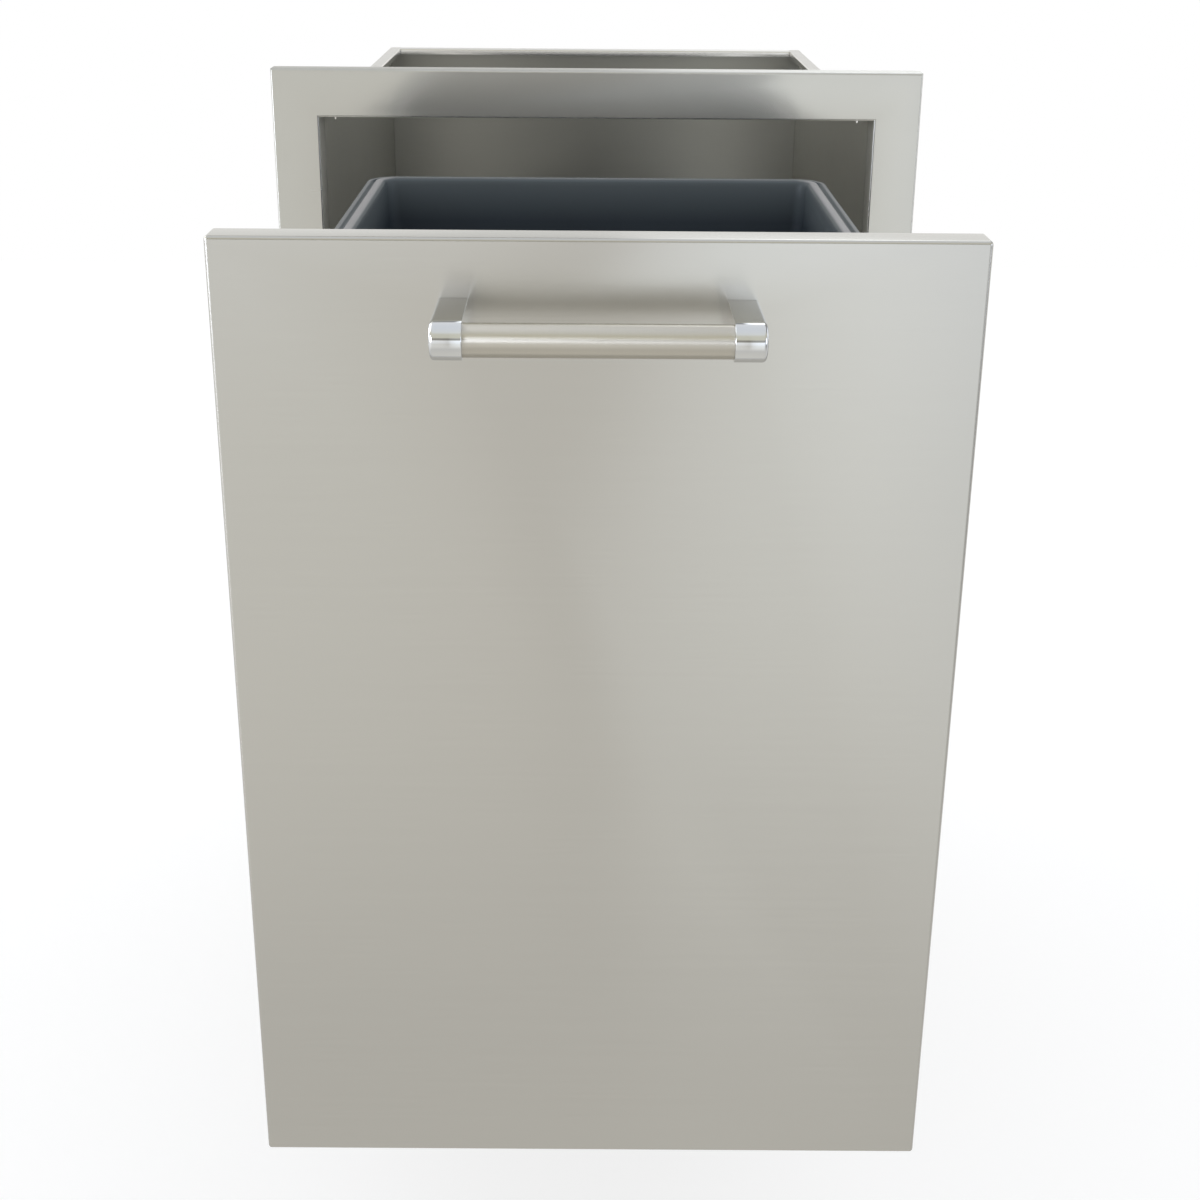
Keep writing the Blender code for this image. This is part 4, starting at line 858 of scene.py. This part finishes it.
def make_bin(plastic):
    """The moulded bin: tapered walls, rounded corners, and a rolled rim with two ridges and a groove."""
    low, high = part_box("trash_bin")
    middle = (low + high) / 2
    half = (high - low) / 2 - Vector((BIN_OVERHANG + BIN_NARROWING, BIN_OVERHANG + BIN_NARROWING, 0))
    height = high.z - low.z

    def corner(grow, z):
        """The core's corner and the radius about it: the corners get tighter towards the top."""
        sharper = (BIN_NECK_CORNER - BIN_FOOT_CORNER) * z / height
        radius = BIN_FOOT_CORNER + sharper + grow - bin_wall(z, height)
        return (half.x + grow - radius, half.y + grow - radius), radius

    rows = bin_rows(height)
    bm = bmesh.new()
    core, radius = corner(*rows[0])
    ring = wrapped_ring(bm, core, radius)
    bmesh.ops.contextual_create(bm, geom=ring)
    for row in rows[1:]:
        new_core, new_radius = corner(*row)
        ring = next_ring(bm, ring, core, new_core, new_radius / radius, row[1])
        core, radius = new_core, new_radius
    bmesh.ops.contextual_create(bm, geom=ring)
    bmesh.ops.recalc_face_normals(bm, faces=bm.faces[:])
    ridges = [
        e for e in bends(bm, BIN_TURN) if reach(e, "Z") < SAME_PLACE and e.verts[0].co.z > height / 2
    ]
    rounded_edges(bm, ridges, BIN_EDGE, 3)
    bmesh.ops.translate(bm, vec=(middle.x, middle.y, low.z), verts=bm.verts[:])
    piece("moulded_bin", bm, plastic, "trash_bin", sharp=50)


def chain(bm, places):
    """A line of edges through places."""
    verts = [bm.verts.new(place) for place in places]
    for pair in zip(verts, verts[1:]):
        bm.edges.new(pair)


def strip(points, along, start, end):
    """An open sheet: a line of points in one plane, drawn out along the third axis."""
    bm = bmesh.new()
    chain(bm, [lifted(point, along, start) for point in points])
    push_free_edges(bm, bm.edges[:], lifted((0, 0), along, end - start))
    return bm


def folded(points, along, start, end, outwards, thickness, fold, segments=4, turn=FOLD_TURN):
    """A folded sheet, given by the line of its outer face."""
    bm = strip(points, along, start, end)
    turn_out(bm, outwards)
    rounded_edges(bm, bends(bm, turn), fold, segments)
    return sheet_metal(bm, thickness)


def arc(centre, radius, start, end, steps):
    """Points on an arc, its angles in degrees."""
    angles = [math.radians(start + (end - start) * i / steps) for i in range(steps + 1)]
    return [(centre[0] + radius * math.cos(a), centre[1] + radius * math.sin(a)) for a in angles]


def make_housing_side(label, side, steel):
    """A wall with its top flange and lip, a flange round the rear corner and a front lap."""
    low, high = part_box("housing_side_right")
    bm = block((low.x, FLANGE_START, low.z), high)
    bmesh.ops.delete(bm, geom=facing(bm, (-1, 0, 0), (0, -1, 0), (0, 0, -1)), context="FACES_ONLY")
    bmesh.ops.delete(bm, geom=[v for v in bm.verts if not v.link_faces], context="VERTS")
    lap_top = high.z - SHEET * 3
    bmesh.ops.bisect_plane(
        bm, geom=bm.verts[:] + bm.edges[:] + bm.faces[:], plane_co=(0, 0, lap_top), plane_no=(0, 0, 1),
    )
    front = [e for e in bm.edges if lies_at(e, "Y", FLANGE_START)]
    front = [e for e in front if all(v.co.z < lap_top + SAME_PLACE for v in e.verts)]
    push_free_edges(bm, front, (0, low.y - FLANGE_START, 0))
    hem = [e for e in bm.edges if lies_at(e, "X", low.x) and lies_at(e, "Z", high.z)]
    for vert in push_free_edges(bm, hem, (0, 0, -RIM_LIP)):
        vert.co.y = min(vert.co.y, BACK_INNER - SEAT_GAP)
    turn_out(bm, (0, 0, 1))
    round_folds(bm, HOUSING_FOLD, 4)
    if side < 0:
        mirror_over(bm)
    wall = (side * (high.x - SHEET * 2), side * (high.x + SHEET))
    bm = drilled(sheet_metal(bm, SHEET), numbered(f"wall_screw_{label}", 3), "X", SCREW_HOLE, *wall)
    piece(f"housing_wall_{label}", bm, steel, f"housing_side_{label}")


def mirror_over(bm):
    """The same shape for the left-hand side."""
    bmesh.ops.scale(bm, vec=(-1, 1, 1), verts=bm.verts[:])
    bmesh.ops.reverse_faces(bm, faces=bm.faces[:])


def make_housing(steel):
    """The open-topped box behind the frame."""
    for label, side in SIDES:
        make_housing_side(label, side, steel)
    low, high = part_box("housing_back")
    path = [(low.y, high.z - RIM_LIP), (low.y, high.z), (high.y, high.z), (high.y, low.z)]
    bm = folded(path, "X", low.x, high.x, (0, 0, 1), SHEET, HOUSING_FOLD)
    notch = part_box("housing_side_right")[0].x - SEAT_GAP
    for side in (-1, 1):
        ends = sorted((side * notch, side * (high.x + SHEET)))
        corner = block((ends[0], 0, high.z - RIM_LIP - SEAT_GAP), (ends[1], high.y + SHEET, high.z + SHEET))
        bm = cut(bm, corner)
    piece("housing_rear", bm, steel, "housing_back")
    low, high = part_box("housing_floor")
    path = [(low.x, high.z), (low.x, low.z), (high.x, low.z), (high.x, high.z)]
    bm = folded(path, "Y", low.y, high.y, (0, 0, -1), SHEET, HOUSING_FOLD)
    top = low.z + SHEET + SEAT_GAP / 3
    bm = cut(bm, block((low.x - SHEET, low.y - SHEET, top), (high.x + SHEET, FLANGE_START, high.z + SHEET)))
    piece("housing_bottom", bm, steel, "housing_floor")


def rolled(node, upper, side, outwards, thickness=SLIDE_SHEET, segments=4):
    """A member or cage of a slide, rolled from strip to a section that is the same above and below."""
    section = upper + [(u, -v) for u, v in upper[::-1]]
    points = [(side * (SLIDE_FACE - u), SLIDE_Z + v) for u, v in section]
    low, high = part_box(node)
    return folded(points, "Y", low.y, high.y, (outwards, 0, 0), thickness, thickness, segments, CORNER_TURN)


def countersunk(bm, screws, side, x_wide, x_narrow):
    """A member with cones cut in it that take the heads of its screws."""
    cones = bmesh.new()
    way = side if x_narrow > x_wide else -side
    turn = Matrix.Rotation(way * math.pi / 2, 4, "Y")
    for node in numbered(screws, 3):
        place = middle_of(node)
        place.x = side * (x_wide + x_narrow) / 2
        bmesh.ops.create_cone(
            cones, cap_ends=True, segments=32, radius1=FLAT_HEAD_RADIUS + SEAT_GAP * 2, radius2=SCREW_HOLE,
            depth=abs(x_narrow - x_wide) + SEAT_GAP * 2, matrix=Matrix.Translation(place) @ turn,
        )
    return cut(bm, cones)


def make_members(label, side, zinc):
    """The three members of one telescopic slide."""
    node = f"slide_outer_{label}"
    curl = arc(OUTER_BALL, RACE_RADIUS + SLIDE_SHEET, -5, 120, 12)
    bm = rolled(node, curl + [(0, curl[-1][1])], side, side)
    bm = countersunk(bm, f"wall_screw_{label}", side, SLIDE_FACE - SLIDE_SHEET, SLIDE_FACE)
    piece(f"wall_member_{label}", bm, zinc, node)

    node = f"slide_middle_{label}"
    bm = rolled(node, [(MIDDLE_TIP_U, MIDDLE_FLAT), (MIDDLE_U, MIDDLE_FLAT)], side, side)
    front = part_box(node)[0].y
    access = [(front + place, SLIDE_Z) for place in SCREWS_ALONG]
    web = (side * (SLIDE_FACE - MIDDLE_U + SEAT_GAP), side * (SLIDE_FACE - INNER_CAGE_U))
    bm = cut(bm, rods(access, "X", FLAT_HEAD_RADIUS * 2, *web, 32))
    piece(f"middle_member_{label}", bm, zinc, node)

    node = f"slide_inner_{label}"
    groove = arc(INNER_BALL, RACE_RADIUS, 225, 315, 8)
    level = groove[0][1]
    bm = rolled(node, [(INNER_TIP_U, level), *groove, (SLIDE_DEPTH, level)], side, -side)
    face = SLIDE_FACE - SLIDE_DEPTH
    bm = countersunk(bm, f"tray_screw_{label}", side, face + SLIDE_SHEET, face)
    piece(f"drawer_member_{label}", bm, zinc, node)


def make_cage(label, side, which, u, ball, bright):
    """A strip bent round the balls, which keeps them in two rows."""
    node = f"ball_cage_{which}_{label}"
    level = ball[1] + CAGE_SHEET / 2
    arm = ball[0] + RACE_RADIUS - SEAT_GAP
    bm = rolled(node, [(arm, level), (u, level)], side, side, CAGE_SHEET, 3)
    low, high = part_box(node)
    pitch = (high.y - low.y) / BALLS_IN_ROW
    x = side * (SLIDE_FACE - ball[0])
    for step in range(BALLS_IN_ROW):
        for v in (-ball[1], ball[1]):
            place = Matrix.Translation((x, low.y + pitch * (step + 0.5), SLIDE_Z + v))
            bmesh.ops.create_icosphere(bm, subdivisions=3, radius=BALL_RADIUS, matrix=place)
    piece(f"caged_balls_{which}_{label}", bm, bright, node, sharp=40)


def make_stop(label, rubber):
    """The rounded rubber bumper at the rear of the wall member."""
    low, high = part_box(f"slide_stop_{label}")
    bm = block(low, high)
    rounded_edges(bm, [e for e in bm.edges if reach(e, "X") > SAME_PLACE], (high.y - low.y) / 4, 6)
    rounded_edges(bm, bends(bm, CORNER_TURN), STOP_EDGE, 3)
    piece(f"rubber_stop_{label}", bm, rubber, f"slide_stop_{label}")


def turned(profile, steps=32):
    """A solid turned about Z from its radius and height, top to bottom."""
    bm = bmesh.new()
    chain(bm, [(radius, 0, height) for radius, height in profile])
    bmesh.ops.spin(
        bm, geom=bm.verts[:] + bm.edges[:], cent=(0, 0, 0), axis=(0, 0, 1), angle=math.tau, steps=steps,
        use_merge=True, use_duplicate=False,
    )
    bmesh.ops.remove_doubles(bm, verts=bm.verts[:], dist=SAME_PLACE)
    bmesh.ops.recalc_face_normals(bm, faces=bm.faces[:])
    return bm


def recess_arm(top, angle):
    """One bar of the cross that a driver fits, tapered towards its bottom."""
    bm = bmesh.new()
    middle = top - RECESS_DEPTH / 2
    place = Matrix.Translation((0, 0, middle)) @ Matrix.Rotation(angle, 4, "Z")
    size = Matrix.Diagonal((RECESS_REACH * 2, RECESS_WIDTH, RECESS_DEPTH * RECESS_CUTTER, 1))
    bmesh.ops.create_cube(bm, size=1, matrix=place @ size)
    for vert in bm.verts:
        if vert.co.z < middle:
            vert.co.xy *= RECESS_TAPER
    return bm


def thread(bm, radius, top, bottom):
    """A fine helical ridge on a screw's shank."""
    root, crest = radius * THREAD_ROOT, radius * THREAD_CREST
    section = ((root, THREAD_FLANK), (crest, 0), (root, -THREAD_FLANK))
    ridge = [bm.verts.new((out, 0, top + rise)) for out, rise in section]
    loop = [bm.edges.new((ridge[i], ridge[(i + 1) % 3])) for i in range(3)]
    turns = (top - bottom) / THREAD_PITCH
    steps = int(turns * STEPS_PER_TURN)
    made = bmesh.ops.spin(
        bm, geom=ridge + loop, cent=(0, 0, 0), axis=(0, 0, 1), angle=math.tau * turns, steps=steps,
        dvec=(0, 0, (bottom - top) / steps), use_merge=False, use_duplicate=False,
    )
    for ring in (loop, only(BMEdge, made["geom_last"])):
        bmesh.ops.contextual_create(bm, geom=ring)
    bmesh.ops.recalc_face_normals(bm, faces=bm.faces[:])


def make_screw(node, aim, head, zinc, turn):
    """One screw, with its head towards aim: flat and countersunk, or pan-shaped."""
    low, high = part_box(node)
    aim = Vector(aim)
    length = abs((high - low).dot(aim))
    radius = HANDLE_SCREW_RADIUS if "handle" in node else SCREW_RADIUS
    if head == "flat":
        shoulder = length - (FLAT_HEAD_RADIUS - SCREW_RADIUS)
        rows = [(0, length), (FLAT_HEAD_RADIUS - HEAD_EDGE, length), (FLAT_HEAD_RADIUS, length - HEAD_EDGE)]
    else:
        wide = PAN_HEAD_RADIUS + radius - SCREW_RADIUS
        shoulder = length - PAN_HEAD_HEIGHT
        rows = [(wide * x, shoulder + PAN_HEAD_HEIGHT * z) for x, z in PAN_DOME]
    rows += [(radius, shoulder), (radius, radius / 2), (radius * TIP_SHARE, 0), (0, 0)]
    bm = turned(rows)
    for angle in (0, math.pi / 2):
        bm = cut(bm, recess_arm(length, angle))
    thread(bm, radius, shoulder - THREAD_PITCH, radius / 2 + THREAD_PITCH)
    place = Matrix.Translation((low + high) / 2 - aim * length / 2)
    place @= aim.to_track_quat("Z", "Y").to_matrix().to_4x4() @ Matrix.Rotation(turn, 4, "Z")
    bmesh.ops.transform(bm, matrix=place, verts=bm.verts[:])
    piece(f"{head}_{node}", bm, zinc, node, sharp=28)


def make_screws(zinc):
    """Every screw, each stopped at its own angle."""
    turn = FIRST_TURN
    for node in sorted(name for name in frame["nodes"] if "screw" in name):
        side = -1 if "left" in node else 1
        if node.startswith("wall_screw"):
            make_screw(node, (-side, 0, 0), "flat", zinc, turn)
        elif node.startswith("tray_screw"):
            make_screw(node, (side, 0, 0), "flat", zinc, turn)
        elif node.startswith("bracket_wall"):
            make_screw(node, (-side, 0, 0), "pan", zinc, turn)
        else:
            make_screw(node, (0, 1, 0), "pan", zinc, turn)
        turn += NEXT_TURN


def make_tray(steel):
    """The low tray: its pan, its two side walls, and the cradle that keeps the bin's foot in place."""
    low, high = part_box("tray_pan")
    path = [(low.y, high.z), (low.y, low.z), (high.y, low.z), (high.y, high.z)]
    bm = folded(path, "X", low.x, high.x, (0, 0, -1), TRAY_SHEET, TRAY_FOLD)
    bm = drilled(bm, numbered("front_screw", 3), "Y", SCREW_HOLE, low.y - SHEET, low.y + TRAY_SHEET * 2)
    bin_low, bin_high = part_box("trash_bin")
    middle, quarter = (bin_low + bin_high) / 2, (bin_high - bin_low) / 4
    drains = [(middle.x + x * quarter.x, middle.y + y * quarter.y) for x in (-1, 1) for y in (-1, 1)]
    bm = cut(bm, rods(drains, "Z", DRAIN_RADIUS, low.z - SHEET, low.z + TRAY_SHEET * 2))
    piece("tray_floor", bm, steel, "tray_pan")
    for label, side in SIDES:
        low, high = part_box(f"tray_side_{label}")
        inner, outer = (low.x, high.x) if side > 0 else (high.x, low.x)
        wall = outer - side * TRAY_HEM
        hem = high.z - TRAY_SHEET
        path = [(inner, low.z), (wall, low.z), (wall, hem), (outer, hem)]
        bm = folded(path, "Y", low.y, high.y, (side, 0, 0), TRAY_SHEET, TRAY_FOLD)
        nodes = numbered(f"tray_screw_{label}", 3) + numbered(f"bracket_wall_screw_{label}", 2)
        bm = drilled(bm, nodes, "X", SCREW_HOLE, wall - side * TRAY_SHEET * 2, wall + side * SHEET)
        piece(f"tray_wall_{label}", bm, steel, f"tray_side_{label}")
    low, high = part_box("bin_cradle")
    path = [(low.x, low.y), (low.x, high.y), (high.x, high.y), (high.x, low.y)]
    bm = folded(path, "Z", low.z, high.z, (0, 1, 0), TRAY_SHEET, CRADLE_CORNER + TRAY_SHEET, 10)
    piece("cradle_fence", bm, steel, "bin_cradle")


def make_bracket(label, side, steel):
    """A folded gusset that ties the tall front to the tray's side wall."""
    low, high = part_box("panel_bracket_right")
    clear_y = low.y + TRAY_SHEET + SEAT_GAP
    fold_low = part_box("tray_pan")[1].z + SEAT_GAP * 3
    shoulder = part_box("tray_side_right")[1].z - TRAY_SHEET - SEAT_GAP * 4
    corners = [
        (low.y, fold_low), (low.y, high.z), (low.y + BRACKET_NOSE, high.z), (high.y, shoulder),
        (high.y, low.z), (clear_y, low.z), (clear_y, fold_low),
    ]
    bm = bmesh.new()
    bm.faces.new([bm.verts.new((high.x, y, z)) for y, z in corners])
    fold = [e for e in bm.edges if lies_at(e, "Y", low.y)]
    push_free_edges(bm, fold, (low.x - high.x, 0, 0))
    turn_out(bm, (1, 0, 0))
    round_folds(bm, SHEET, 4)
    if side < 0:
        mirror_over(bm)
    bm = sheet_metal(bm, BRACKET_SHEET)
    wall = (side * (high.x + SHEET), side * (high.x - BRACKET_SHEET * 2))
    bm = drilled(bm, numbered(f"bracket_wall_screw_{label}", 2), "X", SCREW_HOLE, *wall)
    front = (low.y - SHEET, low.y + BRACKET_SHEET * 2)
    bm = drilled(bm, numbered(f"bracket_panel_screw_{label}", 2), "Y", SCREW_HOLE, *front)
    piece(f"gusset_{label}", bm, steel, f"panel_bracket_{label}")


def make_backing(steel):
    """The plate inside the front that spreads the handle's pull."""
    low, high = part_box("handle_backing_plate")
    bm = block(low, high)
    rounded_edges(bm, [e for e in bm.edges if reach(e, "Y") > SAME_PLACE], BACKING_CORNER, 6)
    screws = [f"handle_screw_{label}" for label in ("left", "right")]
    bm = drilled(bm, screws, "Y", HANDLE_HOLE, low.y - SHEET, high.y + SHEET)
    piece("backing_plate", bm, steel, "handle_backing_plate")


bpy.context.scene.view_settings.view_transform = "Standard"
place_camera()
studio()
floor()
STEEL = brushed_steel("brushed_stainless")
MILL = brushed_steel("mill_stainless", colour=(0.50, 0.495, 0.47), rough=0.33, spread=0.55, streaks=1.5)
DULL = brushed_steel("dull_stainless", colour=(0.86, 0.85, 0.83), rough=0.45, spread=1.0, metal=0.5)
FACE = brushed_steel("face_stainless", colour=(0.70, 0.70, 0.68), rough=0.25, spread=1.0, slope=0.045)
# Painted shade: a darker copy of the stainless for the dim inside of the housing, with a painted highlight
# along its top edge
SHADED_BOX = brushed_steel(
    "box_stainless", colour=(0.535, 0.53, 0.49), rough=0.33, spread=0.4, rim=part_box("housing_back")[1].z,
)
TURNED = brushed_steel(
    "turned_stainless", along="turned", colour=(0.68, 0.655, 0.60), rough=0.37, spread=0.9,
)
CHROME = polished_chrome()
ZINC = zinc_plate()
BRIGHT = bearing_steel()
RUBBER = black_rubber()
PLASTIC = bin_plastic(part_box("trash_bin")[1].z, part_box("trash_bin")[1].x)
make_frame(FACE)
make_housing(SHADED_BOX)
make_front(STEEL, DULL)
make_handle(TURNED, CHROME)
make_backing(MILL)
make_tray(MILL)
for LABEL, SIDE in SIDES:
    make_members(LABEL, SIDE, ZINC)
    make_cage(LABEL, SIDE, "outer", OUTER_CAGE_U, OUTER_BALL, BRIGHT)
    make_cage(LABEL, SIDE, "inner", INNER_CAGE_U, INNER_BALL, BRIGHT)
    make_stop(LABEL, RUBBER)
    make_bracket(LABEL, SIDE, MILL)
make_screws(ZINC)
make_bin(PLASTIC)
